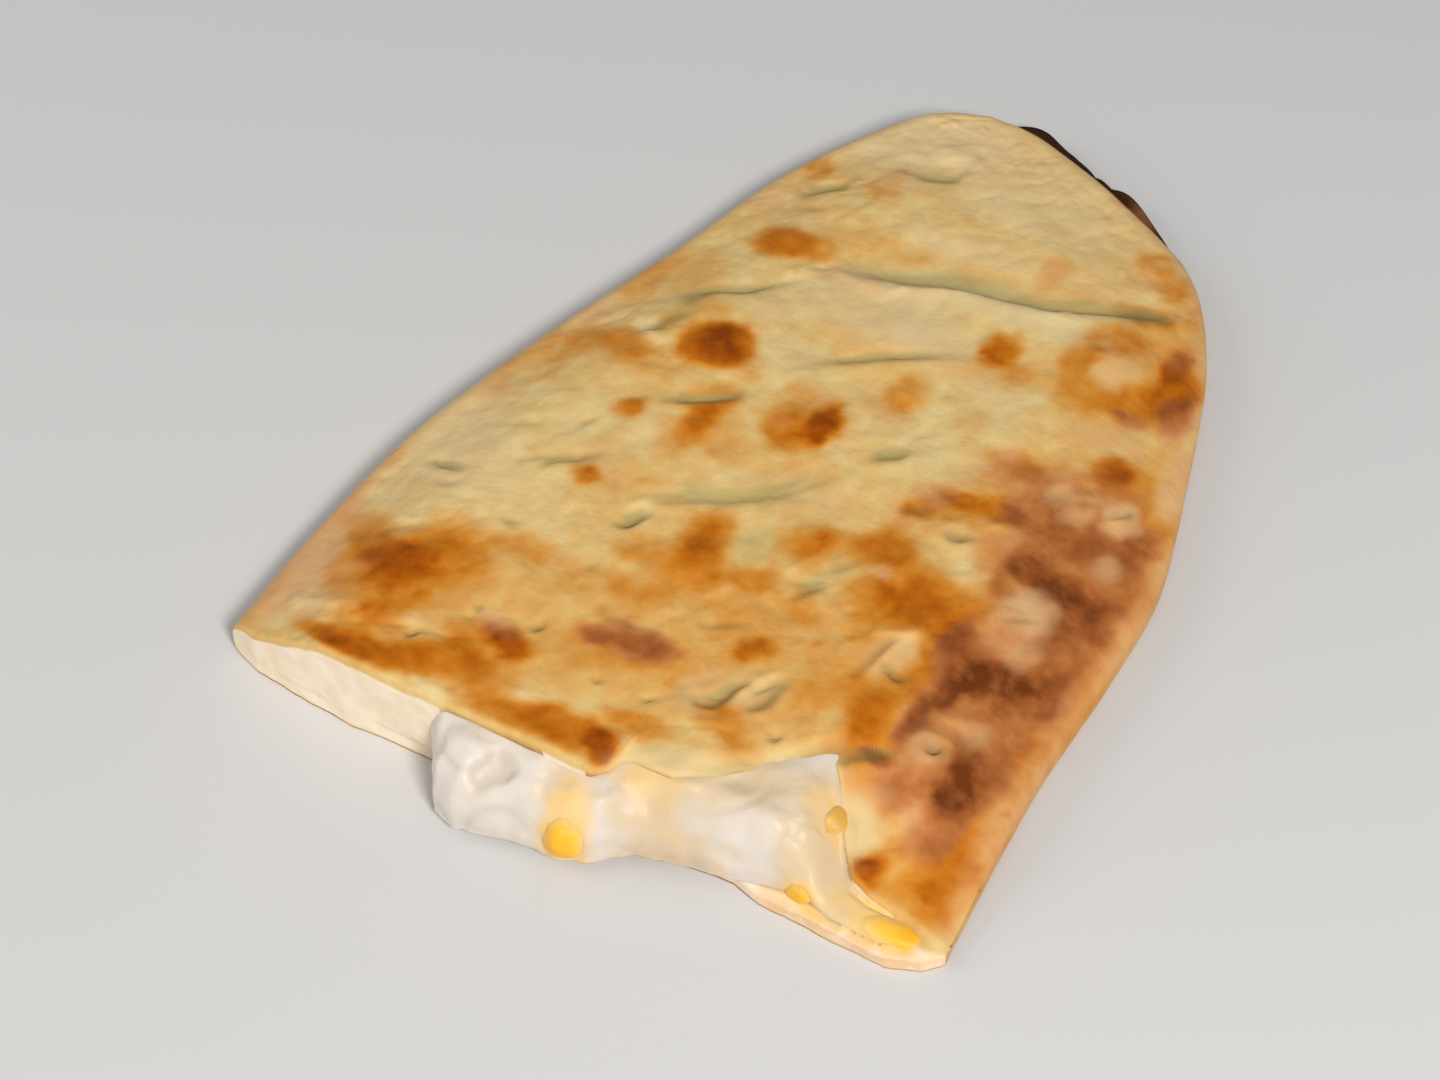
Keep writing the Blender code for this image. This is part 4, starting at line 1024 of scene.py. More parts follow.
def build_crust(material, filling):
    """The dough pocket: a finely bent box with room cut out of it for the filling."""
    whole, faces = shell_grid(*CRUST_GRID, UNDERSIDE_COARSER)
    s, t, h = (whole / CRUST_GRID).T
    s = crowd_to_ends(s, CROWDING_ACROSS)
    t = LAST_ROW * crowd_to_ends(t, CROWDING_ALONG)
    top_x, top_y = plan(s, t, CUT_TOP)
    under_x, under_y = plan(s, t, CUT_UNDERSIDE)
    high, lines = crust_top(top_x, top_y)
    low = crust_underside(under_x, under_y)
    behind = behind_cut(top_x, top_y)
    high = high - in_notch(top_x, NOTCH_THINNER_OVER) * near_edge(behind, *TORN_THIN)
    high = high - EDGE_THIN[0] * (1.0 - shoulder(behind / EDGE_THIN[1]))
    h = crowd_to_step(h, low, high)
    z = low + (high - low) * h
    share = rise(z, STEP_LOW, STEP_RISE)
    share = np.where(h == 0.0, 0.0, np.where(h == 1.0, 1.0, share))
    x = under_x + (top_x - under_x) * share
    y = under_y + (top_y - under_y) * share
    reach = scorched_lips(x, y)
    lip = reach * (1.0 - rise(h, *LIP_ENDS))
    y = y + lip
    z = z + LIP_CURLS * lip * ease(h / LIP_CURLS_OVER)
    corner, length = RAGGED_WITHIN
    front = np.exp(-behind / RAGGED_BEHIND) * (t < RAGGED_ROWS) * ease((corner - np.abs(x)) / length)
    y = y + front * ragged(x, z)
    data = make_mesh("crust_piece", np.stack([x, y, z], axis=1), faces)
    set_marks(data, crust_marks(x, y, z, h, t, lines, lip, reach))
    crust = add_object("crust_piece", data, material)
    room = build_room(filling)
    modifier = crust.modifiers.new("room for the filling", "BOOLEAN")
    modifier.object = room
    modifier.operation = "DIFFERENCE"
    modifier.solver = "MANIFOLD"
    apply_modifiers(crust)
    bpy.data.objects.remove(room)
    drop_crumbs(crust.data)
    shade_smooth(crust.data)
    return crust


# The cheese on the tongue: from where across it is a thin smear and over what width, its right end,
# its front, how thick it is, how deep its edge sinks into the dough and the width of its round edge
SMEAR_FROM = (36.8, 8.8)
SMEAR_END = (56.6, 4.0)
SMEAR_AHEAD = (0.2, 1.6)
SMEAR_THICK = 1.0
SMEAR_SINKS = 0.3
SMEAR_ROUND = 1.8

# Least thickness of the top crust over the step and over the filling, and least depth of the step
ROOF_LESS = 0.5
LEAST_SHEET = 1.1
LEAST_TREAD = 0.1

# Bends of the bulge's lobes and of the cheese's stains, as above
LOBE_BENDS = [(0.7, 4.0, 6.6, 2.2)]
STAIN_BENDS = [(1.2, 3.0, 4.0, 5.0)]


def smeared(x):
    """1 where the cheese is a thin smear on the tongue."""
    return rise(x, *SMEAR_FROM)


def step_level(x, y):
    """Height of the bottom crust's upper side where it shows in front of the top crust."""
    front = follow(CUT_UNDERSIDE, x)
    share = np.clip((y - front) / np.maximum(follow(CUT_TOP, x) - front, LEAST_TREAD), 0.0, 1.0)
    level = STEP_LOW + STEP_RISE * (0.5 - np.sin(np.arcsin(1.0 - 2.0 * share) / 3.0))
    return np.minimum(level, dome(x, follow(CUT_TOP, x)) - ROOF_LESS)


def cheese_top(x, y, floor, inward):
    """Upper surface of the cheese: under the top crust inside, free and rounded where it bulges out."""
    edge = follow(CUT_TOP, x)
    roof = dome(x, np.maximum(y, edge))
    sheet = SHEET_AT_CUT + (SHEET_INSIDE - SHEET_AT_CUT) * ease((y - edge) / SHEET_GROWS_OVER)
    side = floor + FILLING_EDGE
    high = side + np.maximum(roof - sheet - side, FILLING_LEAST) * shoulder(inward / FILLING_RISE)
    high = np.minimum(high, np.maximum(roof - LEAST_SHEET, floor + FILLING_LEAST))
    free = 1.0 - rise(y - edge, *HELD_BY_TOP)
    lobes = [(across, along, half, half, height) for across, along, half, height in LOBES]
    high = high + free * (bumps(*bent(x, y, LOBE_BENDS), lobes) + waves(x, y, CHEESE_WAVES))
    behind = y - follow(CHEESE_FRONT, x)
    middle = np.minimum(CHEESE_MIDDLE, floor + CHEESE_MIDDLE_SHARE * (high - floor))
    top = middle + (high - middle) * shoulder(behind / follow(CHEESE_ROUND, x))
    ahead = edge - y
    body = shoulder(behind / SMEAR_ROUND) * ease((SMEAR_END[0] - x) / SMEAR_END[1])
    smear = step_level(x, y) - SMEAR_SINKS + SMEAR_THICK * (body * rise(ahead, *SMEAR_AHEAD))
    return top + (smear - top) * smeared(x) * ease(ahead)


def cheese_floor(x, y):
    """Lower surface of the cheese: on the bottom crust inside, lower where it hangs over the cut."""
    on_crust = rise(y - follow(CUT_UNDERSIDE, x), *HELD_BY_BOTTOM)
    return CHEESE_LOW + (BOTTOM_SHEET - CHEESE_LOW) * on_crust


# Cream and yellow stains of the cheese, in the same order as the spots of the crust
CREAMY_CHEESE = [
    (-36, -4, 14, 8, 0.8, 0.6), (1.5, -6, 3.4, 6, 0.6, 1.2), (14, -1, 8, 5, 0.85, 1.2),
    (24, 6, 12, 6, 0.85, 1.2), (22, -7, 14, 2.6, 0.7, 1.2), (39, 6, 5, 10, 0.85, 1),
    (36.5, 0, 4, 3.6, 0.5, 1), (44, -2, 8, 8, 0.9, 1), (56, -2, 8, 6, 0.9, 1),
]
YELLOWED_CHEESE = [
    (4.4, -11, 4.4, 4.6, 0.66, 1.2), (3, -5.5, 2.2, 4, 0.26, 1.2), (12, -0.5, 7, 4.6, 0.46, 1.2),
    (39.4, -3.4, 3.6, 1.6, 0.5, 1.2), (38.4, 7, 4.4, 3.6, 0.5, 1.2), (52, -2.6, 7.6, 3.2, 0.5, 1.2),
    (46.4, 0.4, 5, 4, 0.4, 1.2), (27, -5, 10, 1.6, 0.25, 1.2),
]

# The numbers that the cheese's material reads
CHEESE_MARKS = ("creaminess", "valley_shade", "yellowed")

# Fineness of the cheese's grid, its underside's as of the crust, and how much closer its rows lie
# near the cut
CHEESE_GRID = (210, 150, 14)
CHEESE_UNDER_COARSER = 3
CHEESE_CROWDING = 0.9

# Lumps of the bulging cheese: width and height. Then the width, narrowness and depth of the furrows
# between them, how strongly painted shade darkens them, and the seeds of both
LUMPS = [(7.5, 0.8), (3.5, 0.27), (1.8, 0.07)]
FURROWS = (9.0, 0.14, 0.26)
FURROW_SHADE_SHOWS = 0.6
LUMPS_SEED = 9.0
FURROWS_SEED = 4.3

# The cheese swells in front of the bottom crust's edge, or of the top crust's edge above this level,
# between these ends across, and less towards its lowest level
SWELLS_PAST_BOTTOM = (0.8, 1.6)
SWELLS_PAST_TOP = (1.0, 2.2)
SWELLS_ABOVE = (5.0, 2.0)
SWELLS_FROM = (-24.0, 2.5)
SWELLS_TO = (37.0, 4.0)
SWELLS_LEAST = 0.25
LOWEST = 0.3
LOWEST_OVER = 2.5

# Left of here the front of the filling is cut as ragged as the dough, this little way back
RAGGED_LEFT_OF = (21.0, 3.0)
RAGGED_CHEESE_BEHIND = 0.6


def swell(data, x, y, z):
    """Moves the free points of the cheese out and in along their normals, and gives the painted shade of the
    furrows.
    """
    front = rise(follow(CUT_UNDERSIDE, x) - y, *SWELLS_PAST_BOTTOM)
    above = rise(follow(CUT_TOP, x) - y, *SWELLS_PAST_TOP) * rise(z, *SWELLS_ABOVE)
    free = np.maximum(front, above) * rise(x, *SWELLS_FROM) * (1.0 - rise(x, *SWELLS_TO))
    free = free * (SWELLS_LEAST + (1.0 - SWELLS_LEAST) * rise(z, LOWEST, LOWEST_OVER))
    lumps = sum(height * rough(x, y, width, LUMPS_SEED + width, z) for width, height in LUMPS)
    width, narrow, depth = FURROWS
    furrows = np.exp(-((rough(x, y, width, FURROWS_SEED, z) / narrow) ** 2))
    out = (lumps - depth * furrows) * free
    moved = np.stack([x, y, z], axis=1) + read_rows(data, "normal") * out[:, None]
    moved[:, 2] = np.maximum(moved[:, 2], np.minimum(z, LOWEST))
    data.vertices.foreach_set("co", to_frame(moved).ravel())
    data.update()
    return FURROW_SHADE_SHOWS * furrows * free


def off_bit(x, y, z, place):
    """How far points lie from a bit of yellow cheese."""
    across, along, up, wide, deep, tall = place
    apart = np.sqrt((x - across) ** 2 + (y - along) ** 2 + (z - up) ** 2)
    sized = np.sqrt(((x - across) / wide) ** 2 + ((y - along) / deep) ** 2 + ((z - up) / tall) ** 2)
    return np.maximum(apart * (1.0 - 1.0 / np.maximum(sized, LEAST)), 0.0)


def build_filling(material):
    """The melted cheese: a pillow inside the pocket that bulges out at the cut."""
    whole, faces = shell_grid(*CHEESE_GRID, CHEESE_UNDER_COARSER)
    s, t, h = (whole / CHEESE_GRID).T
    t = t * (1.0 - CHEESE_CROWDING * (1.0 - t))
    right = FILLING_RIGHT + (FILLING_RIGHT_INSIDE - FILLING_RIGHT) * ease(t / FILLING_NARROWS_BY)
    across = FILLING_LEFT + (right - FILLING_LEFT) * s
    along = FILLING_TIP * t
    x, y = plan(across, along, CHEESE_FRONT)
    from_left = x - plan(np.full(t.shape, FILLING_LEFT), along)[0]
    from_right = FILLING_RISE_RIGHT * (plan(right, along)[0] - x)
    from_tip = plan(across, np.full(t.shape, FILLING_TIP))[1] - y
    inward = np.minimum(np.minimum(from_left, from_right), from_tip)
    floor = cheese_floor(x, y)
    top = cheese_top(x, y, floor, np.maximum(inward, 0.0))
    middle = np.minimum(CHEESE_MIDDLE, CHEESE_MIDDLE_SHARE * (top + floor))
    behind = y - follow(CHEESE_FRONT, x)
    under = 1.0 - shoulder(behind / CHEESE_UNDER_ROUND)
    floor = floor + CHEESE_UNDER_RISE * (middle - floor) * under * (1.0 - smeared(x))
    z = floor + (top - floor) * h
    y = y + rise(-x, *RAGGED_LEFT_OF) * np.exp(-behind / RAGGED_CHEESE_BEHIND) * ragged(x, z)
    place = bent(x, y, STAIN_BENDS)
    # The hollows also darken the cheese's colour with painted shade
    hollows = [(a, b, half, half, height) for a, b, half, height in LOBES if height < 0]
    valley_shade = np.clip(-bumps(*place, hollows), 0.0, 1.0)
    yellowed = spots(*place, YELLOWED_CHEESE)
    for bit, (reach, strength) in zip(YELLOW_BITS, MELTS_OUT):
        halo = strength * (1.0 - ease(off_bit(x, y, z, bit) / reach))
        yellowed = np.maximum(yellowed, halo)
    data = make_mesh("cheese_piece", np.stack([x, y, z], axis=1), faces)
    valley_shade = np.clip(valley_shade + swell(data, x, y, z), 0.0, 1.0)
    set_marks(data, dict(zip(CHEESE_MARKS, (spots(*place, CREAMY_CHEESE), valley_shade, yellowed))))
    shade_smooth(data)
    return add_object("cheese_piece", data, material)


def icosphere(data):
    """Fills a mesh with a fine round of radius 1 and gives its points."""
    mesh = bmesh.new()
    bmesh.ops.create_icosphere(mesh, subdivisions=4, radius=1.0)
    points = [vertex.co.copy() for vertex in mesh.verts]
    mesh.to_mesh(data)
    mesh.free()
    return points


def build_yellow_bit(index, place, cheese_tree, material):
    """A rounded bit of yellow cheese, melted into the white cheese at its border."""
    across, along, up, wide, deep, tall = place
    start = bpy.data.meshes.new("start")
    facing = Vector(BITS_FACE[index - 1]).normalized()
    points = []
    for co in icosphere(start):
        ahead = max(co.dot(facing), 0.0)
        bulge = 1.0
        for fineness, height, seed in BIT_BUMPS:
            bulge += height * noise.noise(co * fineness + Vector((index, seed, 0.0)))
        point = (co * MELTED_WIDER + facing * (ahead * (ahead - MELTED_WIDER))) * bulge
        points.append((across + point.x * wide, along + point.y * deep, up + point.z * tall))
    data = make_mesh(f"yellow_piece_{index}", points, [list(face.vertices) for face in start.polygons])
    above = []
    for vertex in data.vertices:
        foot, normal, _, _ = cheese_tree.find_nearest(vertex.co)
        above.append((vertex.co - foot).dot(normal))
    edge = 1.0 - ease(np.array(above) / (MELTS_IN * max(above)))
    set_marks(data, {"edge": edge, "dull": BITS_DULL[index - 1] * (1.0 - EDGE_LESS_DULL * edge)})
    bpy.data.meshes.remove(start)
    shade_smooth(data)
    return add_object(f"yellow_piece_{index}", data, material)


class Shader:
    """Adds nodes to a material by short calls."""

    def __init__(self, name):
        self.material = bpy.data.materials.new(name)
        self.material.use_nodes = True
        self.tree = self.material.node_tree
        self.surface = self.tree.nodes["Principled BSDF"]
        self.place = self.add("ShaderNodeTexCoord").outputs["Object"]

    def add(self, kind, settings=None, values=None):
        node = self.tree.nodes.new(kind)
        for key, value in (settings or {}).items():
            setattr(node, key, value)
        for key, value in (values or {}).items():
            self.put(node.inputs[key], value)
        return node

    def put(self, socket, value):
        if isinstance(value, bpy.types.NodeSocket):
            self.tree.links.new(value, socket)
        else:
            socket.default_value = value

    def mark(self, name):
        return self.add("ShaderNodeAttribute", {"attribute_name": name}).outputs["Fac"]

    def grain(self, size_mm, detail):
        """Noise with features of about this size."""
        values = {"Vector": self.place, "Scale": 1.0 / (size_mm * MM), "Detail": detail, "Roughness": 0.5}
        return self.add("ShaderNodeTexNoise", values=values).outputs["Fac"]

    def sum(self, first, second, operation="ADD", clamp=False):
        node = self.add("ShaderNodeMath", {"operation": operation, "use_clamp": clamp})
        self.put(node.inputs[0], first)
        self.put(node.inputs[1], second)
        return node.outputs[0]

    def times(self, first, second, clamp=False):
        return self.sum(first, second, "MULTIPLY", clamp)

    def rest(self, value):
        """What is left of 1."""
        return self.sum(1.0, value, "SUBTRACT")

    def centred(self, noise_value, strength):
        """Noise that swings round 0."""
        return self.times(self.sum(noise_value, 0.5, "SUBTRACT"), strength)

    def palette(self, share, stops):
        """Colour at a share along a row of stops."""
        node = self.add("ShaderNodeValToRGB", values={"Fac": share})
        elements = node.color_ramp.elements
        for place, _ in stops[1:-1]:
            elements.new(place)
        for element, (place, tint) in zip(elements, stops):
            element.position = place
            element.color = (*tint, 1.0)
        return node.outputs["Color"]

    def ramp(self, value, low, high):
        """0 below low, 1 above high and smooth between."""
        values = {"Value": value, "From Min": low, "From Max": high}
        return self.add("ShaderNodeMapRange", {"interpolation_type": "SMOOTHSTEP"}, values).outputs["Result"]

    def mix(self, share, first, second):
        node = self.add("ShaderNodeMix", {"data_type": "RGBA"})
        self.put(node.inputs["Factor"], share)
        self.put(node.inputs[6], first)
        self.put(node.inputs[7], second)
        return node.outputs[2]

    def relief(self, height, reach_mm, strength, under=None):
        values = {"Height": height, "Distance": reach_mm * MM, "Strength": strength}
        if under:
            values["Normal"] = under
        return self.add("ShaderNodeBump", values=values).outputs["Normal"]

    def finish(self, values):
        for key, value in values.items():
            self.put(self.surface.inputs[key], value)
        return self.material


def colour(red, painted_shade_share, blue):
    return (red, painted_shade_share, blue, 1.0)


# Colours of the crust from pale dough to brown, each with how far it is baked, the same where the
# heat has turned it purplish, and the painted highlight on ridges at each baking
BAKED = [
    (0, (0.725, 0.545, 0.245)), (0.12, (0.700, 0.478, 0.182)), (0.25, (0.680, 0.408, 0.128)),
    (0.38, (0.650, 0.335, 0.085)), (0.5, (0.615, 0.268, 0.045)), (0.62, (0.570, 0.208, 0.020)),
    (0.74, (0.500, 0.150, 0.007)), (0.86, (0.385, 0.092, 0.002)), (1, (0.230, 0.042, 0.001)),
]
SCORCHING = [
    (0, (0.705, 0.525, 0.280)), (0.12, (0.675, 0.465, 0.232)), (0.25, (0.645, 0.390, 0.180)),
    (0.38, (0.605, 0.310, 0.130)), (0.5, (0.560, 0.248, 0.090)), (0.62, (0.505, 0.196, 0.060)),
    (0.74, (0.425, 0.145, 0.038)), (0.86, (0.310, 0.090, 0.021)), (1, (0.140, 0.032, 0.005)),
]
RIDGE_HIGHLIGHTS = [
    (0, (0.82, 0.67, 0.42)), (0.25, (0.86, 0.60, 0.29)), (0.55, (0.86, 0.48, 0.15)),
    (1, (0.66, 0.27, 0.06)),
]
# Pale dough, also the painted highlight on pale tops of blisters and folds
PALE_DOUGH = colour(0.755, 0.555, 0.29)
PINKISH_TAN = colour(0.67, 0.385, 0.19)
# Painted shade in hollows, grooves and beside folds
PAINTED_SHADE_GREY = colour(0.40, 0.325, 0.125)
VEILED_DOUGH = colour(0.60, 0.495, 0.275)
# Painted shade in slits and holes
SLIT_SHADE = colour(0.17, 0.125, 0.035)
SINGED = colour(0.23, 0.095, 0.035)
CHARRED = colour(0.034, 0.014, 0.006)

# Colours of the dough's inside, of the tongue and of the cheese that films it, in light and dark
# patches, and the values of the noise between which one turns into the other
CRUMB = (colour(0.89, 0.73, 0.53), colour(0.92, 0.79, 0.62))
TONGUE = (colour(0.81, 0.54, 0.31), colour(0.88, 0.66, 0.47))
FILM = (colour(0.83, 0.53, 0.14), colour(0.85, 0.60, 0.27))
PATCHES = (0.36, 0.68)

# Noise in the crust's colour, from broad to fine: size in millimetres and detail. Then how strongly
# the broad one changes the plain crust's baking, and how strongly the others change all marks
CRUST_GRAINS = [(16.0, 2.0), (6.0, 3.0), (3.0, 2.0), (1.0, 2.0)]
BASE_UNEVEN = 0.55
UNEVENNESS = (0.40, 0.26, 0.08)

# How far the plain crust is baked, and what counts as dark and as light of the baking
BASE_BAKED = 0.14
DARK_TO_LIGHT = (0.75, 0.30)

# How strongly each mark shows, how much more some do where the dough is uneven, and the values of
# some between which they come up
STRENGTH = {
    "veil": 0.8, "creamy": 0.35, "pinkish": 0.85, "rim": 0.45, "pale_and_lit": 0.95, "painted_shade": 0.72,
    "lit_ridge": 0.8, "shaded_slit": 0.9,
}
MORE_UNEVEN = {"browned": 0.7, "scorched": 1.1, "pale_and_lit": 1.2}
PINKISH_SHOWS = (0.05, 0.85)
PINKISH_IN_DARK = 0.3
PAINTED_SHADE_SHOWS = (0.05, 0.9)
PURPLISH_SHOWS = (0.0, 0.45)
INSIDE_SHOWS = (0.35, 0.75)
SINGED_SHOWS = (0.0, 0.4)
CHARRED_SHOWS = (0.3, 0.9)

# The crust's sheen and fine relief: plain roughness, more of it with the noise and inside, the share
# of the finest noise in the relief, and how much less relief the inside has
CRUST_ROUGH = 0.50
ROUGHER_GRAIN = 0.16
ROUGHER_INSIDE = 0.2
FINE_SHARE = 0.45
SMOOTHER_INSIDE = 0.6


def crust_material():
    """Baked dough, coloured by the numbers that its mesh carries and by noise of several sizes."""
    m = Shader("baked_crust_look")
    broad, *finer = [m.grain(*grain) for grain in CRUST_GRAINS]
    middling, mottle, fine = finer
    parts = [m.centred(grain, strength) for grain, strength in zip(finer, UNEVENNESS)]
    uneven = m.sum(m.sum(parts[0], parts[1]), parts[2])

    def shown(name, value=None):
        return m.times(value or m.mark(name), STRENGTH[name])

    def unevenly(name):
        mark = m.mark(name)
        return m.sum(mark, m.times(m.times(uneven, MORE_UNEVEN[name]), mark))

    def patches(tints):
        return m.mix(m.ramp(mottle, *PATCHES), *tints)

    base = m.sum(m.sum(BASE_BAKED, m.centred(broad, BASE_UNEVEN)), uneven)
    raw = m.times(m.rest(m.sum(base, 0.0, "MAXIMUM")), m.rest(unevenly("browned")))
    baked = m.rest(m.times(raw, m.rest(unevenly("scorched"))))
    purplish = m.ramp(m.mark("scorched"), *PURPLISH_SHOWS)
    light = m.ramp(baked, *DARK_TO_LIGHT)
    veil = m.times(m.sum(m.mark("veil"), uneven), STRENGTH["veil"], clamp=True)
    pinkish = shown("pinkish", m.ramp(m.sum(m.mark("pinkish"), uneven), *PINKISH_SHOWS))
    in_light = m.sum(PINKISH_IN_DARK, m.times(light, 1.0 - PINKISH_IN_DARK))
    inside = m.ramp(m.mark("crumb"), *INSIDE_SHOWS)
    tongue = m.mix(m.mark("tongue"), patches(CRUMB), patches(TONGUE))
    skin = m.mix(purplish, m.palette(baked, BAKED), m.palette(baked, SCORCHING))
    for share, tint in [
        (m.times(veil, light), VEILED_DOUGH),
        (m.times(shown("creamy"), light), PALE_DOUGH),
        (m.times(pinkish, in_light), PINKISH_TAN),
        (m.times(shown("rim"), light), PINKISH_TAN),
        # pale dough, partly painted highlight on the tops of blisters and folds
        (shown("pale_and_lit", unevenly("pale_and_lit")), PALE_DOUGH),
        # painted greyish green shade in hollows, grooves and beside folds
        (shown("painted_shade", m.ramp(m.mark("painted_shade"), *PAINTED_SHADE_SHOWS)), PAINTED_SHADE_GREY),
        # painted highlight on the ridges
        (shown("lit_ridge"), m.palette(baked, RIDGE_HIGHLIGHTS)),
        # painted shade in the slits and holes
        (shown("shaded_slit"), SLIT_SHADE),
        (inside, m.mix(m.mark("filmed"), tongue, patches(FILM))),
        (m.ramp(m.mark("char"), *SINGED_SHOWS), SINGED),
        (m.ramp(m.mark("char"), *CHARRED_SHOWS), CHARRED),
    ]:
        skin = m.mix(share, skin, tint)
    gloss = m.sum(m.sum(CRUST_ROUGH, m.times(mottle, ROUGHER_GRAIN)), m.times(inside, ROUGHER_INSIDE))
    grainy = m.times(m.sum(mottle, m.times(fine, FINE_SHARE)), m.rest(m.times(inside, SMOOTHER_INSIDE)))
    return m.finish({
        "Base Color": skin,
        "Roughness": gloss,
        "Specular IOR Level": 0.09,
        "Specular Tint": colour(1.0, 0.88, 0.70),
        "Subsurface Weight": 0.08,
        "Subsurface Radius": (1.0, 0.45, 0.2),
        "Subsurface Scale": 0.002,
        "Normal": m.relief(middling, 0.8, 0.4, m.relief(grainy, 0.3, 0.5)),
    })


# Colours of the cheese
WHITE_CHEESE = colour(0.70, 0.63, 0.555)
CREAM_CHEESE = colour(0.665, 0.51, 0.32)
# Painted shade in the cheese's valleys and furrows
SHADED_CHEESE = colour(0.55, 0.45, 0.33)
OLIVE_GOLD = colour(0.62, 0.36, 0.075)
STAINED_CHEESE = colour(0.88, 0.55, 0.15)
YELLOWS = [
    (0, (0.93, 0.46, 0.02)), (0.35, (0.93, 0.50, 0.045)), (0.70, (0.90, 0.53, 0.10)),
    (1, (0.83, 0.55, 0.20)),
]

# Noise in the cheese's colour: size in millimetres and detail, and how strongly it changes the marks.
# Then how strongly the painted shade in the valleys shows, the values between which the stains come up,
# and the roughness, plain and with the noise
CHEESE_GRAINS = [(4.0, 3.0), (1.1, 2.0)]
YELLOW_GRAIN = (2.2, 3.0)
CREAM_UNEVEN = 0.8
STAIN_UNEVEN = 0.5
YELLOW_UNEVEN = 0.35
VALLEY_SHADE_SHOWS = 0.45
STAINS_SHOW = (0.1, 0.95)
MOIST = (0.34, 0.2)


def moist(m, mottle):
    """Roughness of melted cheese."""
    plain, more = MOIST
    return m.sum(plain, m.times(mottle, more))


def cheese_material():
    """Melted white cheese: smooth, moist and lit from within."""
    m = Shader("white_cheese_look")
    mottle, fine = [m.grain(*grain) for grain in CHEESE_GRAINS]
    uneven = m.centred(mottle, CREAM_UNEVEN)
    stains = m.ramp(m.sum(m.mark("yellowed"), m.times(uneven, STAIN_UNEVEN)), *STAINS_SHOW)
    body = m.mix(m.ramp(m.sum(m.mark("creaminess"), uneven), 0.0, 1.0), WHITE_CHEESE, CREAM_CHEESE)
    # Painted shade in the valleys and furrows
    body = m.mix(m.times(m.mark("valley_shade"), VALLEY_SHADE_SHOWS), body, SHADED_CHEESE)
    return m.finish({
        "Base Color": m.mix(stains, body, STAINED_CHEESE),
        "Roughness": moist(m, mottle),
        "Specular IOR Level": 0.35,
        "Subsurface Weight": 0.35,
        "Subsurface Radius": (1.0, 0.8, 0.55),
        "Subsurface Scale": 0.002,
        "Normal": m.relief(m.sum(mottle, m.times(fine, 0.3)), 0.5, 0.5),
    })


def yellow_material():
    """Melted yellow cheese, deeper in colour where it is thick."""
    m = Shader("yellow_cheese_look")
    mottle = m.grain(*YELLOW_GRAIN)
    edge = m.sum(m.mark("edge"), m.centred(mottle, YELLOW_UNEVEN))
    return m.finish({
        "Base Color": m.mix(m.mark("dull"), m.palette(edge, YELLOWS), OLIVE_GOLD),
        "Roughness": moist(m, mottle),
        "Specular IOR Level": 0.3,
        "Subsurface Weight": 0.4,
        "Subsurface Radius": (1.0, 0.6, 0.15),
        "Subsurface Scale": 0.0015,
        "Normal": m.relief(mottle, 0.3, 0.35),
    })


def add_camera():
    """The photograph's camera, turned to the middle of the pie and brought nearer by its lens."""
    eye = Vector(CAMERA_EYE) * MM
    down = math.radians(CAMERA_DOWN)
    ahead = Vector((CAMERA_HEADING[0] * math.cos(down), CAMERA_HEADING[1] * math.cos(down), -math.sin(down)))
    ahead.normalize()
    right = ahead.cross(Vector((0.0, 0.0, 1.0))).normalized()
    above = right.cross(ahead)
    roll = math.radians(CAMERA_ROLL)
    across = math.cos(roll) * right + math.sin(roll) * above
    look = (Vector(CAMERA_AIM) * MM - eye).normalized()
    across = (across - look * across.dot(look)).normalized()
    upward = across.cross(look)
    camera = bpy.data.objects.new("camera", bpy.data.cameras.new("camera"))
    camera.data.sensor_width = SENSOR
    camera.data.lens = CAMERA_LENS
    camera.data.clip_start = 0.01
    camera.matrix_world = Matrix((
        (across.x, upward.x, -look.x, eye.x),
        (across.y, upward.y, -look.y, eye.y),
        (across.z, upward.z, -look.z, eye.z),
        (0.0, 0.0, 0.0, 1.0),
    ))
    bpy.context.scene.collection.objects.link(camera)
    bpy.context.scene.camera = camera


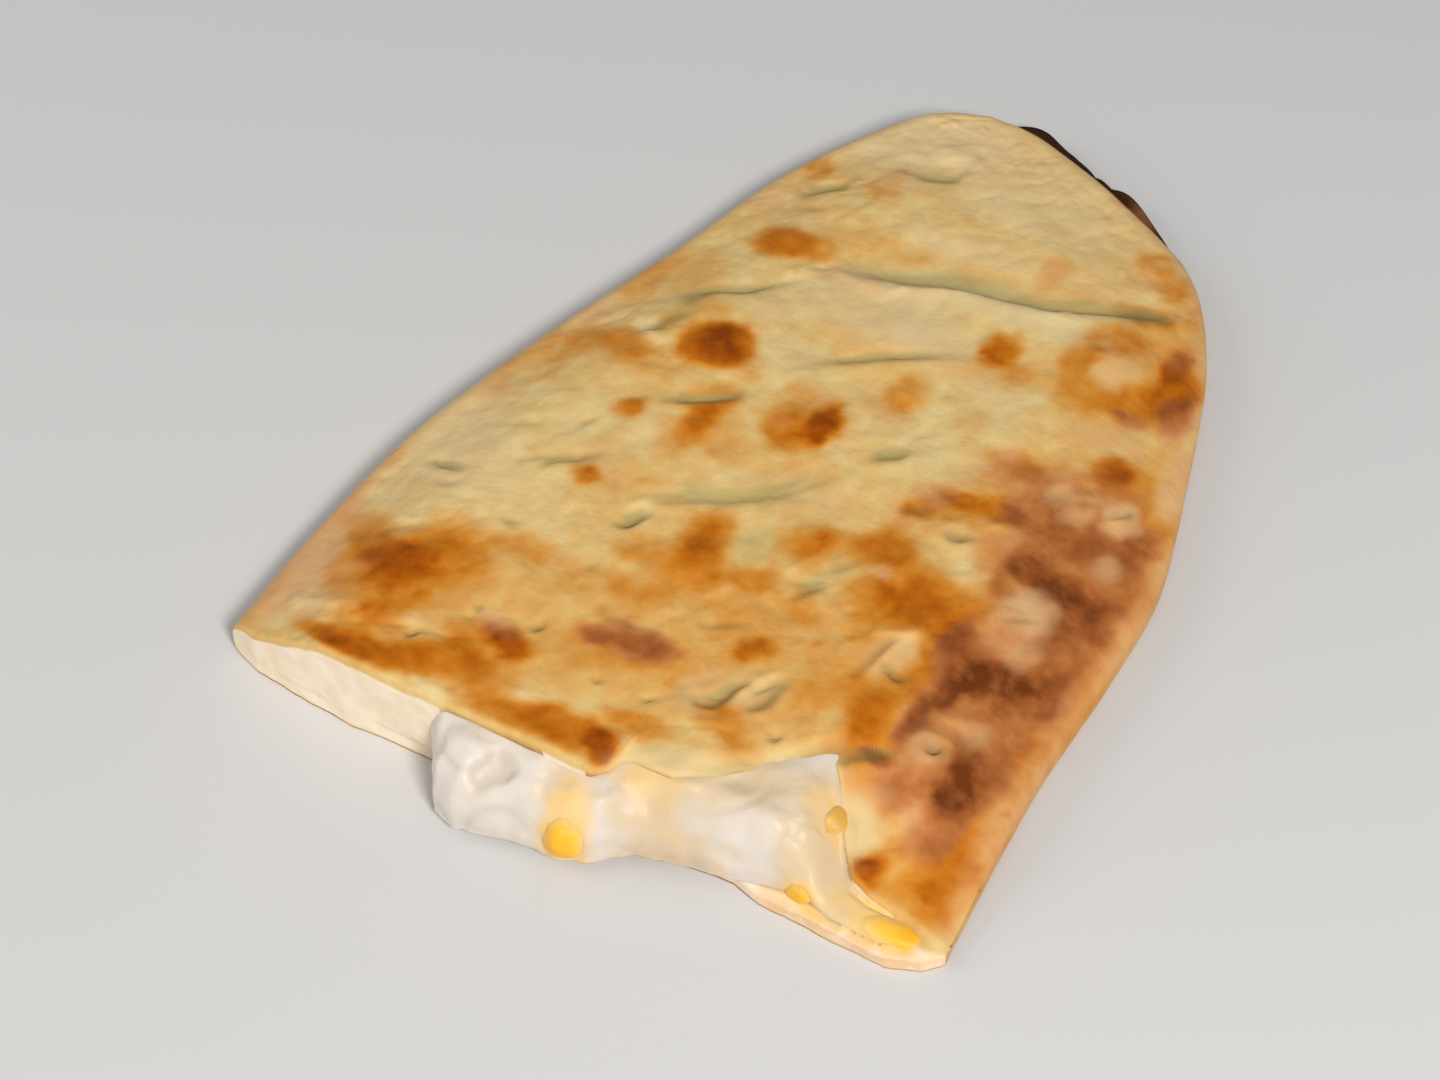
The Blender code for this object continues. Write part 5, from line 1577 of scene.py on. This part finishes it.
# Lamps: place, size, power and colour
LAMPS = [
    ("key", (0.54, -0.52, 0.66), 0.22, 8.2, (1.0, 0.985, 0.96)),
    ("fill", (-0.70, -0.30, 0.45), 0.60, 2.4, (1.0, 0.97, 0.93)),
]
SKY = colour(0.94, 0.965, 1.0)
SKY_STRENGTH = 0.34
FLOOR_COLOUR = colour(0.62, 0.61, 0.60)
FLOOR_HALF = 3000.0


def add_light():
    scene = bpy.context.scene
    for name, place, size, power, tint in LAMPS:
        lamp = bpy.data.objects.new(name, bpy.data.lights.new(name, "AREA"))
        lamp.data.size = size
        lamp.data.energy = power
        lamp.data.color = tint
        lamp.location = place
        lamp.rotation_euler = (-Vector(place)).to_track_quat("-Z", "Y").to_euler()
        scene.collection.objects.link(lamp)
    world = bpy.data.worlds.new("studio")
    world.use_nodes = True
    background = world.node_tree.nodes["Background"]
    background.inputs["Color"].default_value = SKY
    background.inputs["Strength"].default_value = SKY_STRENGTH
    scene.world = world
    scene.view_settings.view_transform = "Standard"


def add_floor():
    """A plain pale floor."""
    half = FLOOR_HALF
    corners = [(-half, -half, 0.0), (half, -half, 0.0), (half, half, 0.0), (-half, half, 0.0)]
    material = Shader("plain_floor").finish({"Base Color": FLOOR_COLOUR, "Roughness": 0.7})
    floor = add_object("floor", make_mesh("floor", corners, [[0, 1, 2, 3]]), material)


def main():
    cheese = build_filling(cheese_material())
    crust = build_crust(crust_material(), cheese)
    yellow = yellow_material()
    cheese_tree = BVHTree.FromPolygons(
        [vertex.co for vertex in cheese.data.vertices],
        [list(face.vertices) for face in cheese.data.polygons],
    )
    pieces = [(crust, "crust", "baked_crust"), (cheese, "cheese_filling", "white_cheese")]
    for index, place in enumerate(YELLOW_BITS, start=1):
        bit = build_yellow_bit(index, place, cheese_tree, yellow)
        pieces.append((bit, f"yellow_cheese_{index}", "yellow_cheese"))
    for piece, node, slot in pieces:
        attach(piece, "root")
        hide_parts(node)
    add_camera()
    add_light()
    add_floor()


main()


def corners(box):
    return [list(corner) for corner in box]
